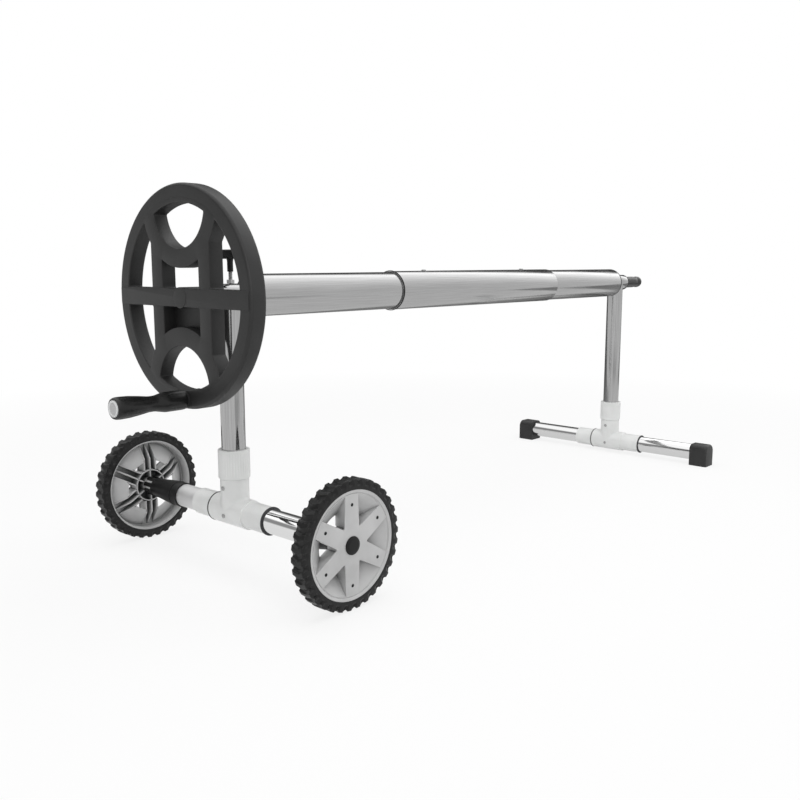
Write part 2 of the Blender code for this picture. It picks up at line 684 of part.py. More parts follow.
def build_rim(label, way, wheel):
    """A moulded wheel centre: lipped barrel, six flat spokes over a conical bowl, and the hub.

    The bowl slopes from the barrel's lip back to the hub and is open round the
    hub's ring. The spokes are boxes that reach back to it, hollow from behind
    but for a middle rib.
    """
    centre = (0, wheel["place"][1], BASE_HEIGHT)
    edge = RIM_WIDTH / 2
    face = edge - SPOKE_RECESS
    back = BOWL_BACK_RECESS - edge
    barrel = TYRE_SEAT_RADIUS - RIM_WALL
    lip = TYRE_SEAT_RADIUS - RIM_LIP_WALL
    lean = (BOWL_MOUTH_RADIUS - BOWL_FLOOR_RADIUS) / (face - back)
    wall = BOWL_WALL * sqrt(1 + lean ** 2)
    meets = back + (barrel - wall - BOWL_FLOOR_RADIUS) / lean
    profile = [(-edge, 0), (-edge, HUB_TUBE_RADIUS), (back, HUB_TUBE_RADIUS),
               (back, BOWL_FLOOR_RADIUS + wall), (meets, barrel), (RIM_LIP_CHAMFER - edge, barrel),
               (-edge, lip), (-edge, TYRE_SEAT_RADIUS), (edge, TYRE_SEAT_RADIUS), (edge, lip),
               (face, BOWL_MOUTH_RADIUS + SPOKE_RECESS / 2), (face, 0)]
    rim = turned("wheel_rim_" + label, [(way * along, radius) for along, radius in profile],
                 "Y", grey_abs(), centre, wheel, RIM_STEPS)
    past = SPOKE_RECESS
    bowl = [(back - past, 0), (back - past, BOWL_FLOOR_RADIUS - past * lean),
            (face + past, BOWL_MOUTH_RADIUS + past * lean), (face + past, 0)]
    windows = turned("bowl_windows_" + label, [(way * along, radius) for along, radius in bowl],
                     "Y", grey_abs(), centre, steps=RIM_STEPS)
    cut(windows, prism("spoke_boxes_" + label, [star(TYRE_SEAT_RADIUS, SPOKE_WIDTH / 2)], "Y",
                       -RIM_WIDTH, RIM_WIDTH, grey_abs(), centre))
    cut(windows, cylinder_tool("hub_ring_" + label, "Y", -RIM_WIDTH, RIM_WIDTH, HUB_RING_RADIUS, centre,
                               RIM_STEPS))
    cut(rim, windows)
    cut(rim, prism("spoke_hollows_" + label, behind_spokes(), "Y", -way * RIM_WIDTH,
                   way * (face - SPOKE_PLATE), grey_abs(), centre))
    cut(rim, cylinder_tool("hub_bore_" + label, "Y", -RIM_WIDTH, RIM_WIDTH, WHEEL_AXLE_RADIUS + FIT, centre,
                           SMALL_STEPS))
    cut(rim, cylinder_tool("hub_seat_" + label, "Y", way * (face - HUB_SEAT_DEPTH), way * RIM_WIDTH,
                           HUB_SEAT_RADIUS, centre, AXLE_STEPS))
    weld(rim)


def build_hub_cap(label, way, wheel):
    """A domed black cap pressed into the hub's seat."""
    face = RIM_WIDTH / 2 - SPOKE_RECESS
    seat = face + FIT
    plug = HUB_SEAT_RADIUS - FIT
    profile = [(face - HUB_CAP_PLUG, 0), (face - HUB_CAP_PLUG, plug), (seat, plug), (seat, HUB_CAP_RADIUS),
               (seat + HUB_CAP_HEIGHT, HUB_CAP_RADIUS * 0.8), (seat + HUB_CAP_HEIGHT, 0)]
    turned("hub_cap_" + label, [(way * along, radius) for along, radius in profile],
           "Y", black_abs(), (0, wheel["place"][1], BASE_HEIGHT), wheel, AXLE_STEPS)


def build_plug(name, face, way, float_gap, parent):
    """An end plug: flange, body in the tube and thrust boss outside, bored for the axle."""
    flange = PLUG_FLANGE - FIT
    skirt = TUBE_INSIDE - FIT
    boss = RUN_GAP - float_gap
    profile = [(boss, AXLE_SEAT), (boss, PLUG_BOSS_RADIUS), (0, PLUG_BOSS_RADIUS), (0, TUBE_RADIUS),
               (flange, TUBE_RADIUS), (flange, skirt), (PLUG_LENGTH, skirt), (PLUG_LENGTH, AXLE_SEAT)]
    turned(name, [(way * along, radius) for along, radius in profile], "X", black_abs(),
           (face, 0, REEL_HEIGHT), parent)


def build_crank(wheel, grip_body):
    """The turning grip, the spindle it turns on and the disc that keeps it there.

    The grip has a fat collar and a waist, then swells towards a rounded lip.
    """
    axis_place = (0, 0, REEL_HEIGHT - CRANK_RADIUS)
    bore = CRANK_SPINDLE_RADIUS + RUN_GAP
    recess = CRANK_DISC_RADIUS + RUN_GAP
    seat = CRANK_GRIP_LENGTH - CRANK_DISC_SEAT
    swelling = CRANK_GRIP_RADIUS - CRANK_GRIP_WAIST
    outline = [(0.0, bore), (0.0, CRANK_GRIP_COLLAR - FIT)]
    for share, radius in ((0.31, CRANK_GRIP_COLLAR), (0.42, CRANK_GRIP_WAIST), (0.50, CRANK_GRIP_WAIST),
                          (0.65, CRANK_GRIP_WAIST + 0.55 * swelling), (0.82, CRANK_GRIP_RADIUS - FIT),
                          (0.96, CRANK_GRIP_RADIUS), (1.0, CRANK_GRIP_RADIUS - CRANK_GRIP_LIP)):
        outline.append((share * CRANK_GRIP_LENGTH, radius))
    outline += [(CRANK_GRIP_LENGTH, recess), (seat, recess), (seat, bore)]
    turned("crank_grip", [(CRANK_GRIP_START - along, radius) for along, radius in outline],
           "X", black_rubber(), axis_place, grip_body, AXLE_STEPS)
    inner_end = HAND_WHEEL_FRONT + RIM_DEPTH - CRANK_SPINDLE_SEAT
    under_disc = CRANK_GRIP_END + CRANK_DISC_SEAT - RUN_GAP
    spindle = [(inner_end, 0), (inner_end, CRANK_SPINDLE_RADIUS), (under_disc, CRANK_SPINDLE_RADIUS),
               (under_disc, 0)]
    turned("crank_spindle", spindle, "X", zinc(), axis_place, wheel, SMALL_STEPS)
    disc_back = under_disc - FIT
    turned("crank_end_disc", [(disc_back, 0), (disc_back, CRANK_DISC_RADIUS),
                              (CRANK_DISC_FACE + 0.001, CRANK_DISC_RADIUS),
                              (CRANK_DISC_FACE, CRANK_DISC_RADIUS - 0.0015), (CRANK_DISC_FACE, 0)],
           "X", zinc(), axis_place, wheel, AXLE_STEPS)


def circle_meet(radius, centre, other):
    """Where a circle about the hub meets one centred above it: half width and height."""
    height = (radius ** 2 - other ** 2 + centre ** 2) / (2 * centre)
    return sqrt(radius ** 2 - height ** 2), height


def hand_wheel_windows():
    """Outlines of the openings in the upper half of the hand wheel."""
    band = GRIP_HOLE_RADIUS + GRIP_BAND
    bar_outer = BAR_INNER + BAR_WIDTH
    low = (0, GRIP_HOLE_CENTRE)
    hub = (0, 0)
    corner = circle_meet(GRIP_HOLE_REACH, GRIP_HOLE_CENTRE, GRIP_HOLE_RADIUS)
    tilt = degrees(atan2(corner[1] - GRIP_HOLE_CENTRE, corner[0]))
    lean = degrees(atan2(corner[1], corner[0]))
    grip_hole = arc(low, GRIP_HOLE_RADIUS, -180 - tilt, tilt, 11)
    grip_hole += arc(hub, GRIP_HOLE_REACH, lean, 180 - lean, 5)[1:-1]
    reach = degrees(asin(BAR_INNER / band))
    centre_window = [(-BAR_INNER, CROSS_BAR_HALF), (BAR_INNER, CROSS_BAR_HALF)]
    centre_window += arc(low, band, -90 + reach, -90 - reach, 6)
    apex = circle_meet(RIM_INNER_RADIUS, GRIP_HOLE_CENTRE, band)
    rim_low = degrees(asin(CROSS_BAR_HALF / RIM_INNER_RADIUS))
    rim_high = degrees(atan2(apex[1], apex[0]))
    band_high = degrees(atan2(apex[1] - GRIP_HOLE_CENTRE, apex[0]))
    band_low = -90 + degrees(asin(bar_outer / band))
    side_window = [(bar_outer, CROSS_BAR_HALF)]
    side_window += arc(hub, RIM_INNER_RADIUS, rim_low, rim_high, 6)
    side_window += arc(low, band, band_high, band_low, 2)[1:]
    mirrored = [(-across, up) for across, up in reversed(side_window)]
    return grip_hole, centre_window, side_window, mirrored


def upside_down(outline):
    return [(across, -up) for across, up in reversed(outline)]


def build_hand_wheel(reel):
    """One moulding: round rim, two bars, a cross bar, two banded hand holes and the hub."""
    place = (HAND_WHEEL_FRONT, 0, REEL_HEIGHT)
    shoulder = HAND_WHEEL_RADIUS - RIM_ROUND
    profile = [(0, 0)]
    profile += [(RIM_ROUND * (1 - sin(radians(turn))) * 0.9, shoulder + RIM_ROUND * cos(radians(turn)))
                for turn in (90, 45, 0)]
    back = RIM_DEPTH - RIM_ROUND
    profile += [(back + RIM_ROUND * sin(radians(turn)), shoulder + RIM_ROUND * cos(radians(turn)))
                for turn in (0, 90)]
    ledge = RIM_INNER_RADIUS + RIM_LEDGE
    profile += [(RIM_DEPTH, ledge), (WEB_DEPTH, ledge), (WEB_DEPTH, 0)]
    wheel = turned("hand_wheel", profile, "X", black_abs(), place, reel, HAND_WHEEL_STEPS)
    grip_hole, centre_window, side_window, mirrored = hand_wheel_windows()
    through = [grip_hole, centre_window, side_window, mirrored]
    through += [upside_down(outline) for outline in (grip_hole, side_window, mirrored)]
    cut(wheel, prism("hand_wheel_openings", through, "X", -0.02, 0.05, black_abs(), place))
    cut(wheel, prism("hand_wheel_pocket", [upside_down(centre_window)], "X", -0.02,
                     WEB_DEPTH - POCKET_FLOOR, black_abs(), place))
    bar = [(-CROSS_BAR_REACH, -CROSS_BAR_HALF), (CROSS_BAR_REACH, -CROSS_BAR_HALF),
           (CROSS_BAR_REACH, CROSS_BAR_HALF), (-CROSS_BAR_REACH, CROSS_BAR_HALF)]
    join(wheel, prism("hand_wheel_cross_bar", [bar], "X", -CROSS_BAR_PROUD, WEB_DEPTH / 2, black_abs(),
                      place))
    hub_back = -HOUSING_OUTBOARD - BUSH_FLANGE - RUN_GAP - HAND_WHEEL_FRONT
    join(wheel, cylinder_tool("hand_wheel_hub", "X", -HUB_PROUD, hub_back, HUB_RADIUS, place, AXLE_STEPS))
    crank = (HAND_WHEEL_FRONT, 0, REEL_HEIGHT - CRANK_RADIUS)
    join(wheel, cylinder_tool("crank_boss", "X", -CRANK_BOSS_PROUD, RIM_DEPTH + CRANK_BOSS_BACK,
                              CRANK_BOSS_RADIUS, crank, AXLE_STEPS))
    cut(wheel, cylinder_tool("hub_axle_bore", "X", HUB_FRONT_WALL - HUB_PROUD, 2 * hub_back, AXLE_SEAT,
                             place, AXLE_STEPS))
    cut(wheel, cylinder_tool("crank_bore", "X", -RIM_DEPTH, RIM_DEPTH - CRANK_SPINDLE_SEAT + FIT,
                             CRANK_SPINDLE_RADIUS + FIT, crank, SMALL_STEPS))
    return wheel


def build_drive_axle(reel, wheel):
    """The axle from the hand wheel into the drive plug, and the bolt across the hub."""
    start = HAND_WHEEL_FRONT - HUB_PROUD + HUB_FRONT_WALL + FIT
    end = DRIVE_PLUG_FACE + PLUG_LENGTH
    axle = turned("drive_axle", ring_profile(start, end, AXLE_RADIUS - AXLE_WALL, AXLE_RADIUS), "X",
                  zinc(), (0, 0, REEL_HEIGHT), reel, AXLE_STEPS)
    place = (HUB_BOLT_STATION, 0, REEL_HEIGHT)
    under = HUB_RADIUS + FIT
    head = HUB_BOLT_HEAD / 2
    half = under + HUB_BOLT_HEAD_HEIGHT
    profile = [(-half, 0), (-half, head), (-under, head), (-under, HUB_BOLT_RADIUS),
               (under, HUB_BOLT_RADIUS), (under, head), (half, head), (half, 0)]
    turned("hub_bolt", profile, "Z", zinc(), place, reel, SCREW_STEPS)
    hole = cylinder_tool("hub_bolt_hole", "Z", -0.04, 0.04, HUB_BOLT_RADIUS + FIT, place, SMALL_STEPS)
    cut(wheel, hole)
    weld(wheel)
    cut(axle, hole)


def build_set_screw(name, station, sleeve, sleeve_body):
    """A domed screw through the sleeve that bears on the tube inside."""
    place = (station, 0, REEL_HEIGHT)
    seat = SLEEVE_RADIUS + FIT
    crown = seat + SET_SCREW_HEAD_HEIGHT
    profile = [(TUBE_RADIUS + FIT, 0), (TUBE_RADIUS + FIT, SET_SCREW_RADIUS), (seat, SET_SCREW_RADIUS),
               (seat, SET_SCREW_HEAD_RADIUS),
               (seat + SET_SCREW_HEAD_HEIGHT / 2, SET_SCREW_HEAD_RADIUS * 0.9),
               (crown, SET_SCREW_HEAD_RADIUS * 0.5), (crown, 0)]
    turned(name, profile, "Z", zinc(), place, sleeve_body, SCREW_STEPS)
    cut(sleeve, cylinder_tool(name + "_hole", "Z", TUBE_RADIUS - 0.01, TUBE_RADIUS + 0.02,
                              SET_SCREW_RADIUS + FIT, place, SCREW_STEPS))


def build_sleeve(sleeve_body):
    """The middle tube, slightly larger than the two that slide in it."""
    centre = (SLEEVE_START, 0, REEL_HEIGHT)
    sleeve = turned("sleeve_tube", ring_profile(0, SLEEVE_LENGTH, SLEEVE_BORE, SLEEVE_RADIUS), "X",
                    reel_aluminium(), centre, sleeve_body)
    ring_bore = SLEEVE_RADIUS + FIT
    turned("sleeve_ring", ring_profile(0, SLEEVE_RING_WIDTH, ring_bore, ring_bore + SLEEVE_RING_WALL),
           "X", black_abs(), centre, sleeve_body)
    build_set_screw("set_screw_drive", SLEEVE_START + SET_SCREW_INSET, sleeve, sleeve_body)
    build_set_screw("set_screw_far", SLEEVE_END - SET_SCREW_INSET, sleeve, sleeve_body)


def build_far_end(far_body):
    """The far tube with its plug, axle and lifting grip."""
    place = (0, 0, REEL_HEIGHT)
    turned("far_tube", ring_profile(FAR_TUBE_START, FAR_TUBE_END, TUBE_INSIDE, TUBE_RADIUS),
           "X", reel_aluminium(), place, far_body)
    build_plug("far_plug", FAR_PLUG_FACE, -1, FAR_END_FLOAT, far_body)
    tip = FAR_GRIP_END - FAR_GRIP_END_WALL
    turned("far_axle", ring_profile(FAR_PLUG_FACE - PLUG_LENGTH, tip, AXLE_RADIUS - AXLE_WALL, AXLE_RADIUS),
           "X", zinc(), place, far_body, AXLE_STEPS)
    cavity = FAR_GRIP_LENGTH - FAR_GRIP_END_WALL + FIT
    notch = FAR_GRIP_RADIUS - FAR_GRIP_NOTCH
    outline = [(0, AXLE_SEAT), (0, FAR_GRIP_RADIUS)]
    for share, radius in ((0.60, FAR_GRIP_RADIUS), (0.70, notch), (0.76, notch),
                          (0.84, FAR_GRIP_RADIUS), (0.92, FAR_GRIP_RADIUS),
                          (0.97, FAR_GRIP_RADIUS * 0.88), (1.0, FAR_GRIP_RADIUS * 0.6)):
        outline.append((share * FAR_GRIP_LENGTH, radius))
    outline += [(FAR_GRIP_LENGTH, FAR_GRIP_VENT), (cavity, FAR_GRIP_VENT), (cavity, AXLE_SEAT)]
    turned("far_grip", [(FAR_GRIP_START + along, radius) for along, radius in outline],
           "X", black_rubber(), place, far_body, AXLE_STEPS)


def build_brake(stand, housing, rod_body, handle_body):
    """A nut on the housing, the threaded rod that bears on the axle, and its T-handle."""
    place = (BRAKE_STATION, 0, REEL_HEIGHT)
    nut_top = HOUSING_RADIUS + BRAKE_NUT_HEIGHT
    nut = prism("brake_nut", [hexagon(BRAKE_NUT_ACROSS)], "Z", HOUSING_RADIUS - 0.003, nut_top,
                zinc(), place, stand)
    cut(nut, cylinder_tool("brake_nut_saddle", "X", -0.02, 0.02, HOUSING_RADIUS + FIT, place))
    bore = cylinder_tool("brake_bore", "Z", 0.010, 0.040, BRAKE_ROD_RADIUS + RUN_GAP, place, SMALL_STEPS)
    cut(nut, bore)
    cut(housing, bore)
    tip = AXLE_RADIUS + FIT
    rod_top = BRAKE_STEM_BOTTOM + BRAKE_ROD_SOCKET
    turned("brake_rod", [(tip, 0), (tip, BRAKE_ROD_RADIUS - 0.001), (tip + 0.001, BRAKE_ROD_RADIUS),
                         (rod_top, BRAKE_ROD_RADIUS), (rod_top, 0)], "Z", zinc(), place, rod_body,
           SMALL_STEPS)
    stem_top = BRAKE_STEM_BOTTOM + BRAKE_STEM_LENGTH
    socket = BRAKE_ROD_RADIUS + FIT
    stem = [(rod_top + FIT, 0), (rod_top + FIT, socket), (BRAKE_STEM_BOTTOM, socket),
            (BRAKE_STEM_BOTTOM, BRAKE_STEM_RADIUS), (stem_top - 0.004, BRAKE_STEM_RADIUS),
            (stem_top, BRAKE_STEM_RADIUS + 0.0012), (stem_top + BRAKE_BAR_HEIGHT / 2, BRAKE_STEM_RADIUS),
            (stem_top + BRAKE_BAR_HEIGHT / 2, 0)]
    handle = turned("brake_handle", stem, "Z", black_abs(), place, handle_body, SMALL_STEPS)
    outline = rounded_box(BRAKE_BAR_LENGTH / 2, stem_top, stem_top + BRAKE_BAR_HEIGHT, BRAKE_BAR_CORNER)
    bar = prism("brake_handle_bar", [outline], "X", -BRAKE_BAR_DEPTH / 2, BRAKE_BAR_DEPTH / 2,
                black_abs(), place)
    bevel(bar, 0.0015, 1)
    join(handle, bar)


def main():
    for old in list(bpy.data.objects):
        bpy.data.objects.remove(old, do_unlink=True)
    drive_stand = body("drive_stand", 0, 0, 0)
    reel = body("reel", 0, 0, REEL_HEIGHT, drive_stand)
    crank = body("crank", CRANK_GRIP_START, 0, REEL_HEIGHT - CRANK_RADIUS, reel)
    sleeve = body("sleeve", SLEEVE_START, 0, REEL_HEIGHT, reel)
    far_reel = body("far_reel", FAR_TUBE_START, 0, REEL_HEIGHT, sleeve)
    far_stand = body("far_stand", FAR_LEG, 0, REEL_HEIGHT, far_reel)
    brake_screw = body("brake_screw", BRAKE_STATION, 0, REEL_HEIGHT, drive_stand)
    brake_knob = body("brake_knob", BRAKE_STATION, 0, REEL_HEIGHT, brake_screw)

    cap_depth = BASE_CAP_LENGTH / 2
    housing = build_stand("drive", 0, BASE_HEIGHT, LEFT_CAP_INNER + cap_depth, RIGHT_CAP_INNER + cap_depth,
                          drive_stand)
    build_base_ends(drive_stand)
    build_wheel_axle(drive_stand)
    for label, way in (("left", 1), ("right", -1)):
        wheel = body("wheel_" + label, 0, way * WHEEL_Y, BASE_HEIGHT, drive_stand)
        build_tyre(label, wheel)
        build_rim(label, way, wheel)
        build_hub_cap(label, way, wheel)

    hand_wheel = build_hand_wheel(reel)
    build_drive_axle(reel, hand_wheel)
    turned("drive_tube", ring_profile(DRIVE_TUBE_START, DRIVE_TUBE_END, TUBE_INSIDE, TUBE_RADIUS),
           "X", reel_aluminium(), (0, 0, REEL_HEIGHT), reel)
    build_plug("drive_plug", DRIVE_PLUG_FACE, 1, DRIVE_END_FLOAT, reel)
    build_crank(reel, crank)
    build_sleeve(sleeve)
    build_far_end(far_reel)

    foot_half = STAND_WIDTH / 2 - FOOT_CAP_END_WALL - FIT
    build_stand("far", FAR_LEG, FOOT_TUBE_HEIGHT, foot_half, foot_half, far_stand)
    build_feet(far_stand)
    build_brake(drive_stand, housing, brake_screw, brake_knob)


main()
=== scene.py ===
"""Looks of the pool cover reel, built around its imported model.

Metres, +Z up. Stations along the reel are counted from the drive leg, and
MIDDLE turns a station into X. Every new piece is a surface worked out on a
grid of two parameters: a profile turned round an axis, or an outline carried
through a moulding's thickness. Soft profiles are listed in millimetres, as
corners with an along, a radius and a rounding.
"""
from math import asin, atan2, cos, degrees, pi, radians, sin, sqrt

import bmesh
import bpy
import numpy as np
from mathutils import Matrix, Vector
from mathutils.geometry import delaunay_2d_cdt


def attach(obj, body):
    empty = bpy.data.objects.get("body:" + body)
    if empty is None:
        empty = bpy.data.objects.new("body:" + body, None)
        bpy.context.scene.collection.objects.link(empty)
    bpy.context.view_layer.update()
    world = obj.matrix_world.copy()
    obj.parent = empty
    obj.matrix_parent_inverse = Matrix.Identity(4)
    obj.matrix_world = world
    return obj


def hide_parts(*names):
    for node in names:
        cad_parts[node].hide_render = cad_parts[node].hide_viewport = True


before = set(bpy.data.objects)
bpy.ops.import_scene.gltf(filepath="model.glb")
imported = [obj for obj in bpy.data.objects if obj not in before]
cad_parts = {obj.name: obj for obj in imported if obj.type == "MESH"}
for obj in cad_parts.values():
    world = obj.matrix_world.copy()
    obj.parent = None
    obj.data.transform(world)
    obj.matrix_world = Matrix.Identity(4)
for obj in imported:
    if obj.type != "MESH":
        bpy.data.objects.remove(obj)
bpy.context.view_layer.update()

TAU = 2 * pi
SIDES = (("left", 1), ("right", -1))
CORNERS = ((-1, -1), (1, -1), (1, 1), (-1, 1))

# Heights and stations of the main axes, in metres
MIDDLE = 0.6678
REEL_Z = 0.519
DRIVE_BASE_Z = 0.1136
FAR_BASE_Z = 0.035
FAR_LEG = 1.4386
WHEEL_Y = 0.302

# Radii that several pieces share, in millimetres like soft profiles
REEL_TUBE = 40
REEL_BORE = 38.5
SLEEVE_TUBE = 42
STAND_TUBE = 22.6
STAND_BORE = 20.6
SOCKET = 22.9
AXLE_BORE = 12.8
ROD_BORE = 6.3

# Points round a piece
LARGE_STEPS = 160
ROUND_STEPS = 96
SCREW_STEPS = 64
SMALL_STEPS = 48


# Grids, profiles and outlines

def grid_faces(rows, columns, close_rows=False):
    """Quads between neighbouring points of a rows by columns grid, closed along each row."""
    row, column = np.mgrid[:rows if close_rows else rows - 1, :columns]
    here, below, beside = row * columns, (row + 1) % rows * columns, (column + 1) % columns
    return np.stack([here + column, below + column, below + beside, here + beside], -1).reshape(-1, 4)


def bend(first, corner, last, share):
    """A quadratic curve from one point to another, with the corner as its control point."""
    return (1 - share) ** 2 * first + 2 * share * (1 - share) * corner + share ** 2 * last


def rounded(points, radii, steps=5):
    """A profile whose corners are rounded off: each becomes a quadratic curve
    that starts and ends its radius away from the corner, or 0.48 of a side
    where that is less. A corner of radius 0 stays sharp."""
    points = np.asarray(points, float)
    share = np.linspace(0, 1, steps)[:, None]
    rows = []
    for index, (corner, radius) in enumerate(zip(points, np.broadcast_to(radii, len(points)))):
        if radius <= 0:
            rows.append(corner[None, :])
            continue
        before = points[index - 1] - corner
        after = points[(index + 1) % len(points)] - corner
        lengths = np.hypot(*before), np.hypot(*after)
        reach = min(radius, 0.48 * lengths[0], 0.48 * lengths[1])
        rows.append(bend(corner + before * reach / lengths[0], corner, corner + after * reach / lengths[1], share))
    return np.vstack(rows)


def soft_profile(corners, steps=5):
    """A rounded profile in metres, from (along, radius, rounding) corners in millimetres."""
    corners = np.array(corners, float) / 1000
    return rounded(corners[:, :2], corners[:, 2], steps)


def arc(centre, radius, start, end, steps):
    """Points on a circle from one angle to another, in degrees."""
    turn = np.radians(np.linspace(start, end, steps + 1))
    return np.stack([centre[0] + radius * np.cos(turn), centre[1] + radius * np.sin(turn)], -1)


def circle(radius, steps, centre=(0, 0)):
    return arc(centre, radius, 0, 360, steps)[:-1]


def box_corners(half, low, high, radius, steps):
    """Four rounded corners of an upright box, anticlockwise from the upper right."""
    centres = [(side * (half - radius), level) for level, sides in (
        (high - radius, (1, -1)), (low + radius, (-1, 1))) for side in sides]
    return [arc(centre, radius, 90 * number, 90 * number + 90, steps) for number, centre in enumerate(centres)]


def ramp(value, start, end):
    """0 before the start, 1 beyond the end, and straight between them."""
    return np.clip((value - start) / (end - start), 0, 1)


def dense(outline, gap):
    """An outline with extra points, so that no side is longer than the gap."""
    outline = np.asarray(outline, float)
    rows = []
    for here, there in zip(outline, np.roll(outline, -1, 0)):
        cuts = max(1, int(np.ceil(np.hypot(*(there - here)) / gap)))
        rows.append(here + (there - here) * (np.arange(cuts) / cuts)[:, None])
    return np.vstack(rows)


def anticlockwise(outline):
    """The outline, turned round where its signed area is negative."""
    across, up = outline.T
    area = np.sum(across * np.roll(up, -1) - np.roll(across, -1) * up)
    return outline if area > 0 else outline[::-1]


def inset(outline, distance):
    """The outline moved along its own mitred normals, to its left side."""
    forward = np.roll(outline, -1, 0) - outline
    forward /= np.hypot(*forward.T)[:, None] + 1e-12
    normal = np.stack([-forward[:, 1], forward[:, 0]], -1)
    joint = normal + np.roll(normal, 1, 0)
    joint /= np.maximum((joint * joint).sum(-1, keepdims=True) / 2, 0.3)
    return outline + joint * distance


def softened(outline, radius, gap=0.004):
    """An outline with its sharp corners rounded and its long sides divided."""
    before = outline - np.roll(outline, 1, 0)
    after = np.roll(outline, -1, 0) - outline
    turn = np.abs(np.arctan2(before[:, 0] * after[:, 1] - before[:, 1] * after[:, 0], (before * after).sum(-1)))
    return dense(rounded(outline, np.where(turn > radians(20), radius, 0)), gap)


def contains(outline, spots):
    """Whether each spot lies inside an outline, by counting the sides that cross its level."""
    here, there = outline, np.roll(outline, -1, 0)
    level = spots[:, None, 1]
    crosses = (here[:, 1] > level) != (there[:, 1] > level)
    run = there[:, 1] - here[:, 1]
    run = np.where(np.abs(run) < 1e-12, 1e-12, run)
    meet = here[:, 0] + (level - here[:, 1]) / run * (there[:, 0] - here[:, 0])
    return (crosses & (spots[:, None, 0] < meet)).sum(1) % 2 == 1


def flat_fill(outer, holes):
    """Triangles between an outline and its holes, or one face where there is none."""
    if not holes:
        return outer, np.arange(len(outer))[None, :]
    edges = []
    for outline in [outer, *holes]:
        start, count = len(edges), len(outline)
        edges += [(start + side, start + (side + 1) % count) for side in range(count)]
    points = [Vector(spot) for spot in np.vstack([outer, *holes])]
    corners, _, faces, *_ = delaunay_2d_cdt(points, edges, [], 0, 1e-7)
    corners, faces = np.array(corners), np.array(faces)
    middle = corners[faces].mean(1)
    keep = contains(outer, middle)
    for hole in holes:
        keep &= ~contains(hole, middle)
    return corners, faces[keep]


# Shells: points, faces and whether they are shaded smooth, to be joined into pieces

def turned(profile, axis, centre, steps=ROUND_STEPS, ripple=None):
    """A profile of (along, radius) points turned round an axis: each one goes to
    its distance along it, and to radius times the sine and cosine of the turn.
    A ripple may change both numbers with the turn. A profile with an end on the
    axis is open, and any other one is a ring."""
    along, radius = (np.repeat(values[:, None], steps, 1) for values in profile.T)
    turn = np.broadcast_to(np.arange(steps) * TAU / steps, along.shape)
    if ripple:
        along, radius = ripple(along, radius, turn)
    first, second = radius * np.sin(turn), radius * np.cos(turn)
    order = {"X": (along, first, second), "Y": (first, along, second), "Z": (second, first, along)}[axis]
    points = np.stack(order, -1).reshape(-1, 3) + centre
    is_ring = min(profile[0][1], profile[-1][1]) > 0
    return points, grid_faces(len(profile), steps, close_rows=is_ring), True


def skin(rows):
    """A smooth surface from row to row of points."""
    return np.vstack(rows), grid_faces(len(rows), len(rows[0])), True


def at_depth(outline, depth):
    return np.c_[outline, np.full(len(outline), depth)]


def lid(outline, depth, holes=()):
    """A flat face with its holes, at one depth."""
    spots, faces = flat_fill(outline, holes)
    return at_depth(spots, depth), faces, False


X, Y, Z = np.eye(3)


def laid(origin, *axes):
    """Places a grid's points: from the origin, each of their three values along its own axis."""
    return lambda points: points @ np.array(axes) + origin


def placed(shells, place):
    return [(place(points), faces, smooth) for points, faces, smooth in shells]


def moulding(outer, through, place, thickness, edge, outer_edge=None, blind=(), floor=0.0):
    """A flat moulding: an outer outline and its openings, each carried through
    the thickness with a quarter round at both faces, and flat faces between
    them. Blind pockets end in a floor. Place turns (across, up, depth) points
    into metres."""
    shells = []

    def wall(outline, inward, round_off, floor_depth=None):
        """Carries an outline to the back face, or to a floor, and returns its end rows."""
        turn = np.linspace(0, pi / 2, 4 if floor_depth else 5)
        drawn_in, sunk = round_off * (1 - np.sin(turn)), round_off * (1 - np.cos(turn))
        far = ([0], [floor_depth]) if floor_depth else (drawn_in[::-1], thickness - sunk[::-1])
        outline = anticlockwise(outline)
        moves, depths = [*drawn_in, *far[0]], [*sunk, *far[1]]
        rows = [at_depth(inset(outline, inward * move), depth) for move, depth in zip(moves, depths)]
        shells.append(skin(rows))
        return rows[0][:, :2], rows[-1][:, :2]

    front, back = wall(outer, 1, outer_edge or edge)
    mouths = [wall(opening, -1, edge) for opening in through]
    front_holes, back_holes = [first for first, last in mouths], [last for first, last in mouths]
    for pocket in blind:
        mouth, base = wall(pocket, -1, edge, thickness - floor)
        front_holes.append(mouth)
        shells.append(lid(base, thickness - floor))
    shells += [lid(front, 0, front_holes), lid(back, thickness, back_holes)]
    return placed(shells, place)


def new_object(name, data):
    made = bpy.data.objects.new(name, data)
    bpy.context.scene.collection.objects.link(made)
    return made


def piece(name, shells, look, body, node=None, slot=None, sharp=38):
    """One object from several shells, doubled points merged and normals outwards.
    It stands for a CAD node, if one is named. Its slot argument is not used,
    and no material slot is set."""
    shells = shells if isinstance(shells, list) else [shells]
    builder = bmesh.new()
    for points, faces, smooth in shells:
        corners = [builder.verts.new(spot) for spot in points.tolist()]
        for face in np.asarray(faces).tolist():
            builder.faces.new([corners[index] for index in face]).smooth = smooth
    bmesh.ops.remove_doubles(builder, verts=builder.verts, dist=2e-6)
    bmesh.ops.recalc_face_normals(builder, faces=builder.faces)
    mesh = bpy.data.meshes.new(name)
    builder.to_mesh(mesh)
    builder.free()
    mesh.set_sharp_from_angle(angle=radians(sharp))
    mesh.materials.append(look)
    made = new_object(name, mesh)
    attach(made, body)
    slot or SLOT_OF[look.name]
    if node:
        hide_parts(node)


# Materials

SLOT_OF = {}


def colour(code):
    """Linear red, green, blue and alpha of an sRGB hex value."""
    parts = [int(code[index:index + 2], 16) / 255 for index in (1, 3, 5)]
    return [part / 12.92 if part <= 0.04045 else ((part + 0.055) / 1.055) ** 2.4 for part in parts] + [1]


